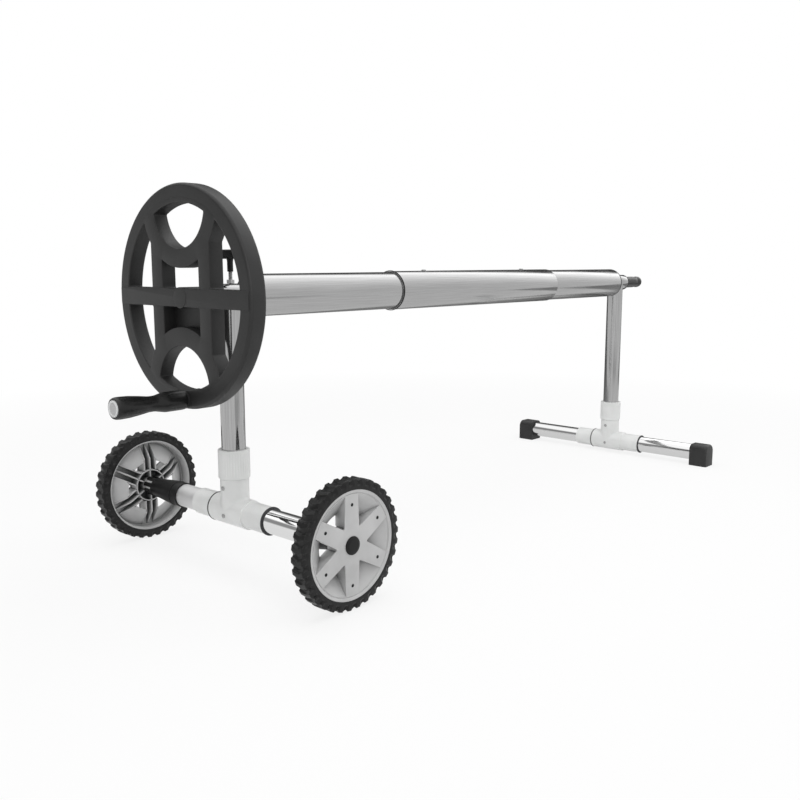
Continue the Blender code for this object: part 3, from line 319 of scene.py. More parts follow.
def add(tree, kind, sockets=None, **settings):
    """Add a node, set its properties, and set or link its sockets."""
    made = tree.nodes.new(kind)
    for name, value in settings.items():
        setattr(made, name, value)
    for name, value in (sockets or {}).items():
        if isinstance(value, bpy.types.NodeSocket):
            tree.links.new(value, made.inputs[name])
        else:
            made.inputs[name].default_value = value
    return made


def finish_of(name, slot, base, roughness, metallic=0.0, **more):
    """A Principled material for a slot, its shader and its Object coordinates."""
    made = bpy.data.materials.new(name)
    SLOT_OF[made.name] = slot
    made.use_nodes = True
    shader = made.node_tree.nodes["Principled BSDF"]
    fixed = {"Base_Color": colour(base), "Roughness": roughness, "Metallic": metallic, **more}
    for socket, value in fixed.items():
        shader.inputs[socket.replace("_", " ")].default_value = value
    return made, shader, add(made.node_tree, "ShaderNodeTexCoord").outputs["Object"]


def feed(shader, socket, value):
    shader.id_data.links.new(value, shader.inputs[socket])


def spread(value, low, high, start, end):
    """A value mapped from one range to another."""
    ranges = {"Value": value, "From Min": low, "From Max": high, "To Min": start, "To Max": end}
    return add(value.id_data, "ShaderNodeMapRange", ranges).outputs["Result"]


def worked(operation, first, second):
    """The sum, product or the like of two values, at least one of them a socket."""
    tree = next(value.id_data for value in (first, second) if isinstance(value, bpy.types.NodeSocket))
    return add(tree, "ShaderNodeMath", {0: first, 1: second}, operation=operation).outputs[0]


def product(first, second):
    return worked("MULTIPLY", first, second)


def part_of(vector, axis):
    return add(vector.id_data, "ShaderNodeSeparateXYZ", {"Vector": vector}).outputs[axis]


def blended(factor, first, second, **settings):
    """A mix of two colours."""
    sockets = {"Factor": factor, "A": first, "B": second}
    tree = next(value.id_data for value in sockets.values() if isinstance(value, bpy.types.NodeSocket))
    return add(tree, "ShaderNodeMix", sockets, data_type="RGBA", **settings).outputs["Result"]


def noise(coordinates, size, stretch=(1, 1, 1)):
    """Noise with features of about a size, in metres, stretched along the axes."""
    tree = coordinates.id_data
    scale = [1 / (size * part) for part in stretch]
    scaled = add(tree, "ShaderNodeMapping", {"Vector": coordinates, "Scale": scale}).outputs["Vector"]
    return add(tree, "ShaderNodeTexNoise", {"Vector": scaled, "Scale": 1.0, "Detail": 3.0}).outputs["Fac"]


def contrast(value, start, end):
    """A noise's usual values, in the middle of its range, spread over a wider one."""
    return spread(value, 0.3, 0.7, start, end)


def bumped(shader, height, distance, strength):
    bump = add(shader.id_data, "ShaderNodeBump", {"Height": height, "Distance": distance, "Strength": strength})
    feed(shader, "Normal", bump.outputs["Normal"])


def drawn_tube(name, slot, dark, light, roughness, stretch):
    """Drawn aluminium tube: faint lines run along it, from the die, and catch the light."""
    made, shader, where = finish_of(name, slot, light, roughness, 1.0)
    lines = noise(where, 0.0016, stretch)
    feed(shader, "Base Color", blended(contrast(lines, 0, 1), colour(dark), colour(light)))
    feed(shader, "Roughness", contrast(noise(where, 0.09), roughness - 0.05, roughness + 0.06))
    bumped(shader, lines, 0.00002, 0.5)
    return made


def chromed_steel(name, base, hazy_at_left):
    """Chromed steel tube: a mirror, with a trace of uneven polish. The worn one
    is hazy beyond the tee's left end."""
    made, shader, where = finish_of(name, "chrome_tube", base, 0.07, 1.0)
    cloud = noise(where, 0.03)
    polish = contrast(cloud, 0.05, 0.11)
    if hazy_at_left:
        polish = worked("ADD", polish, spread(part_of(where, "Y"), 0.090, 0.106, 0, 0.46))
    feed(shader, "Roughness", polish)
    bumped(shader, cloud, 0.0001, 0.15)
    return made


def zinc_steel(name, dark, light):
    """Bright zinc plate: slightly mottled, semi-matt metal."""
    made, shader, where = finish_of(name, "zinc_steel", light, 0.3, 1.0)
    grain = noise(where, 0.0015)
    feed(shader, "Base Color", blended(grain, colour(dark), colour(light)))
    feed(shader, "Roughness", contrast(grain, 0.22, 0.38))
    return made


def moulded(name, slot, dark, light, roughness, grain, depth, ior=1.53, shine=0.5, cloud=0.05):
    """Injection-moulded plastic: an even colour with a fine spark-eroded grain
    and slight gloss changes where the melt flowed. The grain of a real mould
    is about 0.1 mm, drawn coarser here so that it shows."""
    made, shader, where = finish_of(name, slot, light, roughness, IOR=ior, Specular_IOR_Level=shine)
    pits = noise(where, grain)
    feed(shader, "Base Color", blended(contrast(noise(where, cloud), 0, 1), colour(dark), colour(light)))
    feed(shader, "Roughness", contrast(pits, roughness - 0.06, roughness + 0.06))
    bumped(shader, pits, depth, 0.6)
    return made


def wheel_plastic():
    """The ground wheels' grey plastic, with painted shade: its colour darkens to
    #4A4C4C deep inside the narrow channels behind the spokes, where ambient occlusion is strong."""
    made = moulded("grey polypropylene", "grey_plastic", "#B5B5B5", "#C3C3C3", 0.4, 0.0009, 0.00002, 1.49)
    shader = made.node_tree.nodes["Principled BSDF"]
    unshaded_colour = shader.inputs["Base Color"].links[0].from_socket
    open_sky = add(made.node_tree, "ShaderNodeAmbientOcclusion", {"Distance": 0.03}, samples=8).outputs["AO"]
    # Painted shade: ambient occlusion darkens the colour in channels and hollows
    feed(shader, "Base Color", blended(spread(open_sky, 0.16, 0.45, 0, 1), colour("#4A4C4C"), unshaded_colour))
    return made


ALONG_X, ALONG_Z = (60, 1, 1), (1, 1, 60)
REEL_ALUMINIUM = drawn_tube("satin drawn aluminium", "reel_aluminium", "#A8A8A8", "#B4B4B4", 0.15, ALONG_X)
LEG_ALUMINIUM = drawn_tube("polished drawn aluminium", "polished_aluminium", "#A4A4A4", "#BABABA", 0.12, ALONG_Z)
HOUSING_ALUMINIUM = drawn_tube("polished cross tube", "polished_aluminium", "#9C9C9C", "#B0B0B0", 0.12, ALONG_X)
CHROME = chromed_steel("chromed steel", "#D6D6D6", False)
WORN_CHROME = chromed_steel("chromed steel, hazy at the left end", "#E6E6E6", True)
ZINC = zinc_steel("zinc-plated steel", "#909090", "#C8C8C8")
BRIGHT_ZINC = zinc_steel("bright zinc screws", "#9A9A9A", "#CACACA")
DISC_METAL = moulded("pale grip disc", "zinc_steel", "#D6D7D7", "#E2E3E3", 0.35, 0.001, 0.00001, 1.5)
WHITE_PVC = moulded("white PVC", "white_pvc", "#DDDEDD", "#E8E9E8", 0.32, 0.0009, 0.00001, 1.54)
BLACK_ABS = moulded("black ABS", "black_plastic", "#1F1F1F", "#262626", 0.46, 0.0007, 0.00003, shine=0.38)
PLUG_BLACK = moulded("black polypropylene", "black_plastic", "#101010", "#181818", 0.42, 0.0008, 0.00002, 1.49, 0.25)
WHEEL_GREY = wheel_plastic()
TYRE_RUBBER = moulded("tyre rubber", "tyre_rubber", "#0C0C0C", "#131313", 0.36, 0.0012, 0.00004, 1.52, 0.3, 0.02)
GRIP_RUBBER = moulded("glossy grip rubber", "black_rubber", "#121212", "#191919", 0.3, 0.001, 0.00002, 1.52, 0.35)
FOOT_RUBBER = moulded("foot cap rubber", "black_rubber", "#202020", "#2A2A2A", 0.5, 0.001, 0.00004, 1.52, 0.4)
SEAL_RUBBER = moulded("seal rubber", "black_rubber", "#303032", "#404042", 0.5, 0.001, 0.00002, 1.52, 0.4)


def at(station, across=0.0, height=REEL_Z):
    return (station - MIDDLE, across, height)


# The reel's tubes and plugs

def ring(start, end, inner, outer, rounding=0.4):
    """A tube's wall as a closed profile with softened edges, from millimetres."""
    return soft_profile([
        (start, inner, rounding), (start, outer, rounding), (end, outer, rounding), (end, inner, rounding)], 3)


def reel_tubes():
    for node, start, end, inner, outer, body in (
            ("drive_tube", 48, 735, REEL_BORE, REEL_TUBE, "reel"),
            ("sleeve_tube", 434, 1050, REEL_TUBE + 0.5, SLEEVE_TUBE, "sleeve"),
            ("far_tube", 749, 1401, REEL_BORE, REEL_TUBE, "far_reel")):
        wall = turned(ring(start, end, inner, outer), "X", at(0), LARGE_STEPS)
        piece(node + "_skin", wall, REEL_ALUMINIUM, body, node)
    collar = soft_profile([(434, 42.3, 0), (434, 43.6, 0.6), (436.2, 43.6, 0.6), (436.2, 42.3, 0)])
    piece("sleeve_collar", turned(collar, "X", at(0), LARGE_STEPS), PLUG_BLACK, "sleeve", "sleeve_ring")


def end_plug(name, face, way, float_gap, flange, body, node):
    """A plug seen from its end: flange with a soft edge, six shallow ribs and the thrust boss."""
    boss_end, skirt_end = 0.4 - float_gap, 40
    profile = soft_profile([
        (skirt_end, AXLE_BORE, 0.3), (boss_end, AXLE_BORE, 0.3), (boss_end, 16.5, 0.6), (0, 16.5, 0.4),
        (0, 39.8, 0.9), (flange, 39.8, 0.2), (flange, 38.2, 0.2), (skirt_end, 38.2, 0.6)], 4)

    def ribs(along, radius, turn):
        """Between six ribs the flange's face is sunk by 1.2 mm."""
        near = np.abs(along) < 0.0004
        between = ramp(radius, 0.019, 0.021) * ramp(radius, 0.036, 0.034)
        lobe = ramp(np.abs((turn * 6 / TAU) % 1 - 0.5), 0.30, 0.26)
        return along + way * 0.0012 * near * between * lobe, radius

    piece(name, turned(dense(profile, 0.003) * [way, 1], "X", at(face), ripple=ribs), PLUG_BLACK, body, node)


def domed_screw(name, place, radius, height, axis, way, body, node, look=ZINC, shank=0.003, reach=0.001):
    """A pan-head screw with a cross recess. The head's height falls by 0.55 of
    itself towards its rim, with the distance's power of 2.6."""
    rim = 0.45
    share = np.linspace(0, 1, 22)
    top = np.c_[height * (1 - (1 - rim) * share ** 2.6), radius * share]
    side = rounded([(height * rim, radius), (0, radius), (0, shank), (-reach, shank)], [0, 0.0003, 0, 0], 3)
    profile = np.vstack([top, side[1:], [(-reach, 0)]]) * [way, 1]

    def cross(along, spread_out, turn):
        """The recess: two crossed bars with soft edges, 0.38 of the radius wide and 1.12 of it long."""
        across, up = np.abs(spread_out * np.sin(turn)), np.abs(spread_out * np.cos(turn))
        narrow, far = np.minimum(across, up), np.maximum(across, up)
        bar, end = ramp(narrow / radius, 0.19, 0.11), ramp(far / radius, 0.56, 0.46)
        on_top = np.arange(len(profile))[:, None] < len(top)
        return along - way * 0.42 * height * bar * end * on_top, spread_out

    piece(name, turned(profile, axis, place, SCREW_STEPS, cross), look, body, node)


# Hand wheel

HAND_FRONT = -0.105
HAND_RADIUS = 0.1964
RIM_INNER = 0.167
RIM_DEPTH = 0.0335
RIM_ROLL = 0.0065
WEB_DEPTH = 0.029
HOLE_CENTRE = 0.160
HOLE_RADIUS = 0.0755
HOLE_REACH = 0.163
BAND_RADIUS = 0.1085
BAR_INNER = 0.0545
BAR_OUTER = 0.087
CROSS_HALF = 0.016
CROSS_REACH = 0.1905
CROSS_PROUD = 0.0012
CRANK_Z = REEL_Z - 0.1796


def circle_meet(radius, centre, other):
    """Where a circle about the hub meets one centred above it."""
    height = (radius ** 2 - other ** 2 + centre ** 2) / (2 * centre)
    return sqrt(radius ** 2 - height ** 2), height


def hand_wheel_windows():
    """Outlines of the upper hand hole, centre window and side window, as (across, up)."""
    above, hub = (0, HOLE_CENTRE), (0, 0)
    corner = circle_meet(HOLE_REACH, HOLE_CENTRE, HOLE_RADIUS)
    tilt = degrees(atan2(corner[1] - HOLE_CENTRE, corner[0]))
    lean = degrees(atan2(corner[1], corner[0]))
    hole = np.vstack([
        arc(above, HOLE_RADIUS, -180 - tilt, tilt, 60), arc(hub, HOLE_REACH, lean, 180 - lean, 28)[1:-1]])
    reach = degrees(asin(BAR_INNER / BAND_RADIUS))
    centre = np.vstack([
        [(-BAR_INNER, CROSS_HALF), (BAR_INNER, CROSS_HALF)], arc(above, BAND_RADIUS, -90 + reach, -90 - reach, 30)])
    apex = circle_meet(RIM_INNER, HOLE_CENTRE, BAND_RADIUS)
    low = degrees(asin(CROSS_HALF / RIM_INNER))
    high = degrees(atan2(apex[1], apex[0]))
    band_high = degrees(atan2(apex[1] - HOLE_CENTRE, apex[0]))
    band_low = -90 + degrees(asin(BAR_OUTER / BAND_RADIUS))
    side = np.vstack([
        [(BAR_OUTER, CROSS_HALF)], arc(hub, RIM_INNER, low, high, 30),
        arc(above, BAND_RADIUS, band_high, band_low, 12)[1:]])
    return softened(hole, 0.006), softened(centre, 0.003), softened(side, 0.004)


def hand_wheel():
    """Rim, bars, bands and cross bar as one moulding, and the hub and crank boss on it."""
    place = laid(at(HAND_FRONT), Y, Z, X)
    hole, centre, side = hand_wheel_windows()
    through = [hole, hole * [1, -1], centre] + [side * [across, up] for across in (1, -1) for up in (1, -1)]
    ledge = RIM_INNER + 0.006
    shells = moulding(circle(ledge, 240), through, place, WEB_DEPTH, 0.0018, 0.0005, [centre * [1, -1]], 0.004)
    # The rim's roll: flat front, quarter round, side, quarter round, flat back, down to the web
    turn = np.linspace(0, pi / 2, 9)
    shoulder = HAND_RADIUS - RIM_ROLL
    front = np.c_[RIM_ROLL * 0.9 * (1 - np.cos(turn)), shoulder + RIM_ROLL * np.sin(turn)]
    back = np.c_[RIM_DEPTH - RIM_ROLL + RIM_ROLL * np.sin(turn), shoulder + RIM_ROLL * np.cos(turn)]
    foot = rounded([(RIM_DEPTH, shoulder), (RIM_DEPTH, ledge), (WEB_DEPTH - 0.002, ledge)], [0, 0.0015, 0], 4)
    profile = np.vstack([[(0, ledge - 0.0004)], front, back, foot[1:]])
    shells.append(turned(profile, "X", at(HAND_FRONT), 240))
    # The cross bar stands proud of the rim and bars
    bar = dense([(CROSS_REACH * side, CROSS_HALF * level) for side, level in CORNERS], 0.01)
    shells += moulding(softened(bar, 0.003, 0.01), [], laid(at(HAND_FRONT - CROSS_PROUD), Y, Z, X), 0.006, 0.0009)
    hub = soft_profile([
        (-2, 0, 0), (-2, 18.5, 1.2), (77.6, 18.5, 0.8), (77.6, AXLE_BORE, 0.6), (2, AXLE_BORE, 0), (2, 0, 0)])
    boss = soft_profile([(-2, 0, 0), (-2, 16.5, 0.6), (34.5, 16.5, 1), (34.5, 0, 0)], 4)
    shells += [turned(hub, "X", at(HAND_FRONT)), turned(boss, "X", at(HAND_FRONT, 0, CRANK_Z))]
    piece("hand_wheel_moulding", shells, BLACK_ABS, "reel", "hand_wheel")


def grip_outline(length, bore, mouth, recess, end_round, stations):
    """A grip's profile. Its outer radius is given in millimetres at some shares of
    its length and joined by a smooth curve, and its last 3% is rounded off. A
    recess in its end narrows from the mouth's first radius to its second."""
    share = np.linspace(0, 1, 70)
    curve = np.interp(share, *np.transpose(stations)) / 1000
    kernel = np.hanning(7) / np.hanning(7).sum()
    middle = np.convolve(np.pad(curve, 3, "edge"), kernel, "valid")
    curve = np.where((share > 0.03) & (share < 0.97), middle, curve)
    outer = np.c_[share * length, curve - end_round * ramp(share, 0.97, 1) ** 2]
    bottom = length - recess
    return np.vstack([[(0, bore)], outer, [(length, mouth[0]), (bottom, mouth[1]), (bottom, bore)]])


def grips():
    """The crank's grip with the disc in its end, and the far grip for lifting."""
    crank = at(0, 0, CRANK_Z)
    outline = grip_outline(0.136, 0.0065, (0.0152, 0.0148), 0.0024, 0.001, [
        (0, 16.6), (0.012, 17.4), (0.05, 17.8), (0.29, 17.7), (0.36, 15.8), (0.43, 13.7), (0.52, 13.7),
        (0.64, 16.2), (0.80, 18.7), (0.93, 19.3), (1, 18.6)])
    outline[:, 0] = -0.1074 - outline[:, 0]
    piece("crank_grip_rubber", turned(outline, "X", crank), GRIP_RUBBER, "crank", "crank_grip")
    disc = soft_profile([
        (-241.2, 0, 0), (-241.2, 14.4, 0.3), (-245.4, 14.4, 1.2), (-245.4, 11.2, 0.6), (-244, 10.4, 0.6),
        (-244, 0, 0)], 4)
    piece("crank_cap_disc", turned(disc, "X", crank), DISC_METAL, "reel", "crank_end_disc")
    centre = soft_profile([(-243.7, 0, 0), (-244.2, 0, 0), (-244.2, 10.2, 0), (-243.7, 10.2, 0)])
    piece("crank_cap_centre", turned(centre, "X", crank), WHEEL_GREY, "reel")
    outline = grip_outline(0.100, AXLE_BORE / 1000, (0.004, 0.004), 0.0057, 0.0035, [
        (0, 15.8), (0.015, 16.4), (0.58, 16.4), (0.66, 16.1), (0.72, 15.2), (0.78, 15.2), (0.84, 16.3),
        (0.90, 16.4), (0.95, 16), (1, 14)])
    piece("far_grip_rubber", turned(outline, "X", at(1.481)), GRIP_RUBBER, "far_reel", "far_grip")


# Stands

def stand(prefix, leg, base, body):
    """Leg, bearing, tee, nut, rings and screws that both stands share."""
    foot = at(leg, 0, base)
    piece(prefix + "_cross_tube", turned(ring(-24, 39, STAND_BORE, STAND_TUBE, 0.5), "X", at(leg)),
          HOUSING_ALUMINIUM, body, prefix + "_bearing_housing")
    for side, mouth, way in (("outer", -24, 1), ("inner", 39, -1)):
        seat, face, end = mouth - way * 0.3, mouth - way * 3, mouth + way * 18
        bush = soft_profile([
            (seat, 22.6, 0.3), (face, 22.6, 0.9), (face, 12.9, 0.5), (end, 12.9, 0.3), (end, 20.3, 0.3),
            (seat, 20.3, 0.2)], 4)
        piece(f"{prefix}_{side}_bush", turned(bush, "X", at(leg)), PLUG_BLACK, body, f"{prefix}_bush_{side}")

    def coped(along, radius, turn):
        """The top edge follows the cross tube: it dips by what the tube's circle does."""
        reach = (STAND_TUBE + 0.3) / 1000
        saddle = REEL_Z - base - np.sqrt(reach ** 2 - (radius * np.sin(turn)) ** 2)
        return np.where(along > 0.2, saddle, along), radius

    wall = np.array([
        (27, STAND_BORE), (27, STAND_TUBE), (100, STAND_TUBE), (300, STAND_TUBE), (300, STAND_BORE),
        (100, STAND_BORE)]) / 1000
    piece(prefix + "_leg_tube", turned(wall, "Z", foot, ripple=coped), LEG_ALUMINIUM, body, prefix + "_leg")
    tee(prefix, foot, body)

    def flutes(along, radius, turn):
        """Thirty-six shallow finger grooves in the nut's side, faded out at both ends."""
        fade = ramp(along, 0.070, 0.073) * ramp(along, 0.117, 0.114)
        groove = (0.5 - 0.5 * np.cos(36 * turn)) ** 3
        return along, radius - 0.0006 * groove * fade * (radius > 0.0285)

    nut = soft_profile([
        (65.3, 25.8, 0.2), (65.3, 29.8, 1.8), (120, 29.8, 1.4), (120, SOCKET, 0.6), (93.3, SOCKET, 0.2),
        (93.3, 25.8, 0.2)], 6)
    piece(prefix + "_union_nut", turned(dense(nut, 0.003), "Z", foot, 288, flutes), WHITE_PVC, body,
          prefix + "_leg_nut")
    for side, near, far, inner, outer in (("left", 49.3, 51.5, 25.8, 28.6), ("right", -105.3, -107.5, SOCKET, 26.7)):
        seal = soft_profile([(near, inner, 0), (near, outer, 1), (far, outer, 1), (far, inner, 0)])
        piece(f"{prefix}_{side}_ring", turned(seal, "Y", foot), SEAL_RUBBER, body, f"{prefix}_seal_{side}")
    for label, height, surface in (("upper", 0.048, 0.0272), ("lower", -0.005, 0.028)):
        domed_screw(f"{prefix}_{label}_screw", at(leg - surface - 0.0003, 0, base + height), 0.0042, 0.0026, "X", -1,
                    body, f"{prefix}_tee_screw_{label}", BRIGHT_ZINC, shank=0.002, reach=0.012)


def tee(prefix, foot, body):
    """The tee: a stepped run turned round Y, and the stub turned round Z. The
    stub's foot is a quadratic curve from its side to the run's surface, with
    its control point where the two cylinders meet."""
    run, stub, fillet, shoulder = 0.028, 0.0272, 0.0035, 0.035
    profile = soft_profile([
        (-105, SOCKET, 0.6), (-105, 25.5, 1.2), (-49, 25.5, 0.6), (-49, 28, 1.2), (49, 28, 1.2),
        (49, 25.5, 0.6), (105, 25.5, 1.2), (105, SOCKET, 0.6)])
    shells = [turned(dense(profile, 0.004), "Y", foot, 192)]
    steps = 144
    turn = np.arange(steps) * TAU / steps
    sideways = np.abs(np.cos(turn))
    meet = np.sqrt(run ** 2 - (stub * sideways) ** 2)
    land_radius = np.minimum(stub + fillet, run / np.maximum(sideways, 1e-6))
    land_height = np.sqrt(np.maximum(run ** 2 - (land_radius * sideways) ** 2, 0))
    share = np.linspace(0, 1, 7)[:, None]
    radius = bend(stub, stub, land_radius, share)
    height = bend(meet + fillet, meet, land_height, share)
    side = rounded([(0.065, 0.0255), (0.065, stub), (shoulder, stub)], [0, 0.0012, 0], 4)
    top = np.vstack([[(0.0935, SOCKET / 1000), (0.0935, 0.0255)], side])
    radii = np.vstack([np.repeat(top[:, 1:], steps, 1), radius])
    heights = np.vstack([np.repeat(top[:, :1], steps, 1), height])
    heights = np.where(heights == shoulder, np.maximum(meet + fillet, shoulder), heights)
    points = np.stack([radii * np.cos(turn), radii * np.sin(turn), heights], -1).reshape(-1, 3)
    shells.append((points + foot, grid_faces(len(radii), steps), True))
    bore = np.array([(93.5, SOCKET), (26.7, SOCKET), (26.7, 0)]) / 1000
    shells.append(turned(bore, "Z", foot, steps))
    piece(prefix + "_white_tee", shells, WHITE_PVC, body, prefix + "_tee")


def base_tube(prefix, foot, left, right, look, body):
    piece(prefix + "_chrome_tube", turned(ring(-right, left, STAND_BORE, STAND_TUBE, 0.5), "Y", foot, LARGE_STEPS),
          look, body, prefix + "_base_tube")


def foot_caps():
    """Rubber caps, 50 mm long: an upright outline with a rounded top. It is carried
    along the tube and drawn in by a quarter circle at the outer end, 8 mm at
    the top and 3 mm at the sides. The inner end has the tube's socket."""
    outer, length, socket_depth = 0.320, 0.050, 0.041
    top_round, side_round, corner, low_corner = 0.008, 0.003, 0.0128, 0.002
    turn = np.linspace(0, pi / 2, 8)
    drawn_in = [0.12, 0.04, 0, 0, 0, 0, *(1 - np.cos(turn))]
    depths = [0, 0.0004, 0.001, 0.012, 0.024, 0.036, *(length - top_round * (1 - np.sin(turn)))]
    rows = []
    for inward, depth in zip(drawn_in, depths):
        half, top = 0.025 - side_round * inward, 0.061 - top_round * inward
        rows.append(at_depth(np.vstack([
            *box_corners(half, 0, top, corner, 12)[:2], [(-half, 0.035), (-half, 0.015)],
            *box_corners(half, 0, top, low_corner, 4)[2:], [(half, 0.015), (half, 0.035)]]), depth))
    hole = circle(SOCKET / 1000, 72, (0, FAR_BASE_Z))
    shells = [skin(rows), skin([at_depth(hole, 0), at_depth(hole, socket_depth)]), lid(rows[0][:, :2], 0, [hole]),
              lid(rows[-1][:, :2], length), lid(hole, socket_depth)]
    for label, way in SIDES:
        place = laid(at(FAR_LEG, way * (outer - length), 0), X, Z, Y * way)
        piece(f"foot_cap_{label}_rubber", placed(shells, place), FOOT_RUBBER, "far_stand", "foot_cap_" + label)


# Drive stand: base caps, spacers and ground wheels

DRIVE_FOOT = at(0, 0, DRIVE_BASE_Z)


def base_ends():
    """Black end caps of the base tube and the trumpet-shaped spacers out to the
    wheels. The tube reaches 36 mm further to the right."""
    wheel_side, root = 287.3, 263.3
    for label, way, inner in (("left", 1, 164), ("right", -1, 200)):
        outer, rod_hole = inner + 21, inner + 10.8
        cap = soft_profile([
            (inner, SOCKET, 0.3), (inner, 25, 1.2), (outer, 25, 1.4), (outer, ROD_BORE, 0.3),
            (rod_hole, ROD_BORE, 0), (rod_hole, SOCKET, 0)]) * [way, 1]
        piece(f"base_end_{label}", turned(cap, "Y", DRIVE_FOOT), PLUG_BLACK, "drive_stand", "base_cap_" + label)

        def fingers(along, radius, turn):
            """Eight fingers at the wheel's end, with gaps between them down to the liner."""
            liner_radius = 0.0157
            inside = ramp(1000 * np.abs(along), root, root + 3)
            gap = ramp(np.abs((turn * 8 / TAU) % 1 - 0.5), 0.29, 0.33)
            return along, radius - np.maximum(radius - liner_radius, 0) * inside * gap

        start = outer + 0.3
        flare = [(start + (root - start) * share, radius, rounding) for share, radius, rounding in (
            (0, 25.5, 0.8), (0.2, 24.25, 6), (0.55, 21.65, 10), (0.85, 19.48, 8), (1, 18.5, 0.6))]
        spacer = soft_profile([
            (start, 10, 0), *flare, (root + 0.5, 19.7, 0.6), (root + 4, 19.7, 0.5), (wheel_side, 19.7, 0.8),
            (wheel_side, 10, 0)], 6)
        piece(f"spacer_{label}_flare", turned(spacer * [way, 1], "Y", DRIVE_FOOT, 192, fingers), PLUG_BLACK,
              "drive_stand", "wheel_spacer_" + label)
        liner = soft_profile([
            (root - 4, ROD_BORE, 0), (root - 4, 16.1, 0.4), (wheel_side - 0.4, 16.1, 0.6),
            (wheel_side - 0.4, ROD_BORE, 0)], 4) * [way, 1]
        piece(f"spacer_{label}_liner", turned(liner, "Y", DRIVE_FOOT), WHITE_PVC, "drive_stand")


LUGS = 34


def tyre(label, way):
    """A lugged tyre: the section is a soft-cornered band, and each of its points
    is pushed in by the lug's height, a wave round the tyre with a flat crest
    and a steep face, slanted across the tread and faded out down the flanks."""
    section = soft_profile([
        (-15, 95.3, 0.4), (-15, 106, 3), (-13.5, 113.6, 2.4), (13.5, 113.6, 2.4), (15, 106, 3), (15, 95.3, 0.4)], 8)
    half, depth, notch = 0.015, 0.0044, 0.003

    def lugs(along, radius, turn):
        phase = (turn * LUGS / TAU + 0.10 * np.cos(along / half * pi)) % 1
        valley = 1 - np.interp(phase, [0, 0.10, 0.50, 0.60, 0.75, 1.0], [0.55, 1.0, 0.92, 0.25, 0, 0.55])
        tread = ramp(radius, 0.104, 0.110)
        flank = ramp(np.abs(along), 0.012, 0.014) * ramp(radius, 0.101, 0.104)
        return along - np.sign(along) * notch * valley * flank, radius - depth * valley * tread

    axle = at(0, way * WHEEL_Y, DRIVE_BASE_Z)
    piece(f"tyre_{label}_rubber", turned(dense(section, 0.0015), "Y", axle, LUGS * 20, lugs), TYRE_RUBBER,
          "wheel_" + label, "tyre_" + label)


SPOKES = 6
SPOKE_HALF = 0.015
SPOKE_REACH = 0.0877
HUB_RING = 0.0335

# Distances along the axle from the wheel's middle, outwards
WHEEL_EDGE = 0.0143
WHEEL_FACE = 0.0128
WHEEL_BACK = -0.0123
PLATE = 0.0035
PLATE_BACK = WHEEL_FACE - PLATE

# The barrel's inside, its lip, and the bowl's mouth and floor
BARREL = 0.0905
LIP = 0.0932
MOUTH = 0.0885
FLOOR = 0.0525
BOWL_LEAN = (MOUTH - FLOOR) / (WHEEL_FACE - WHEEL_BACK)
BOWL_WALL = 0.003 * sqrt(1 + BOWL_LEAN ** 2)


def spoke_windows():
    """The six openings between parallel-sided spokes: two straight sides that
    meet near the hub, and an arc along the barrel."""
    swing = degrees(asin(SPOKE_HALF / SPOKE_REACH))
    for middle in range(60, -300, -60):
        rim = arc((0, 0), SPOKE_REACH, middle - 30 + swing, middle + 30 - swing, 24)
        point = [(HUB_RING * cos(radians(middle)), HUB_RING * sin(radians(middle)))]
        yield softened(np.vstack([rim, point]), 0.0035, 0.003)


def bowl_sector(turned_by, way, axle):
    """One sixth of the conical bowl, as a closed wall between two neighbouring
    spokes. Each point of its section is swung about the axle from the plane of
    one spoke's side wall to that of the next."""
    share = np.linspace(0, 1, 12)
    start, mouth = WHEEL_FACE - 0.0006, MOUTH - 0.0006
    inner = np.c_[start + (WHEEL_BACK - start) * share, mouth + (FLOOR - mouth) * share]
    section = np.vstack([inner, inner[::-1] + [0, BOWL_WALL]])
    section[-1, 1] = min(section[-1, 1], 0.0935)
    columns, rows = 25, len(section)
    along, radius = section.T
    first = np.arcsin(0.0135 / radius)
    turn = turned_by + first + (TAU / SPOKES - 2 * first) * np.linspace(0, 1, columns)[:, None]
    points = np.stack([radius * np.sin(turn), along * way + 0 * turn, radius * np.cos(turn)], -1) + axle
    end = [(index, index + 1, rows - 2 - index, rows - 1 - index) for index in range(rows // 2 - 1)]
    return [(points.reshape(-1, 3), grid_faces(columns, rows), True), (points[0], end, False), (points[-1], end, False)]


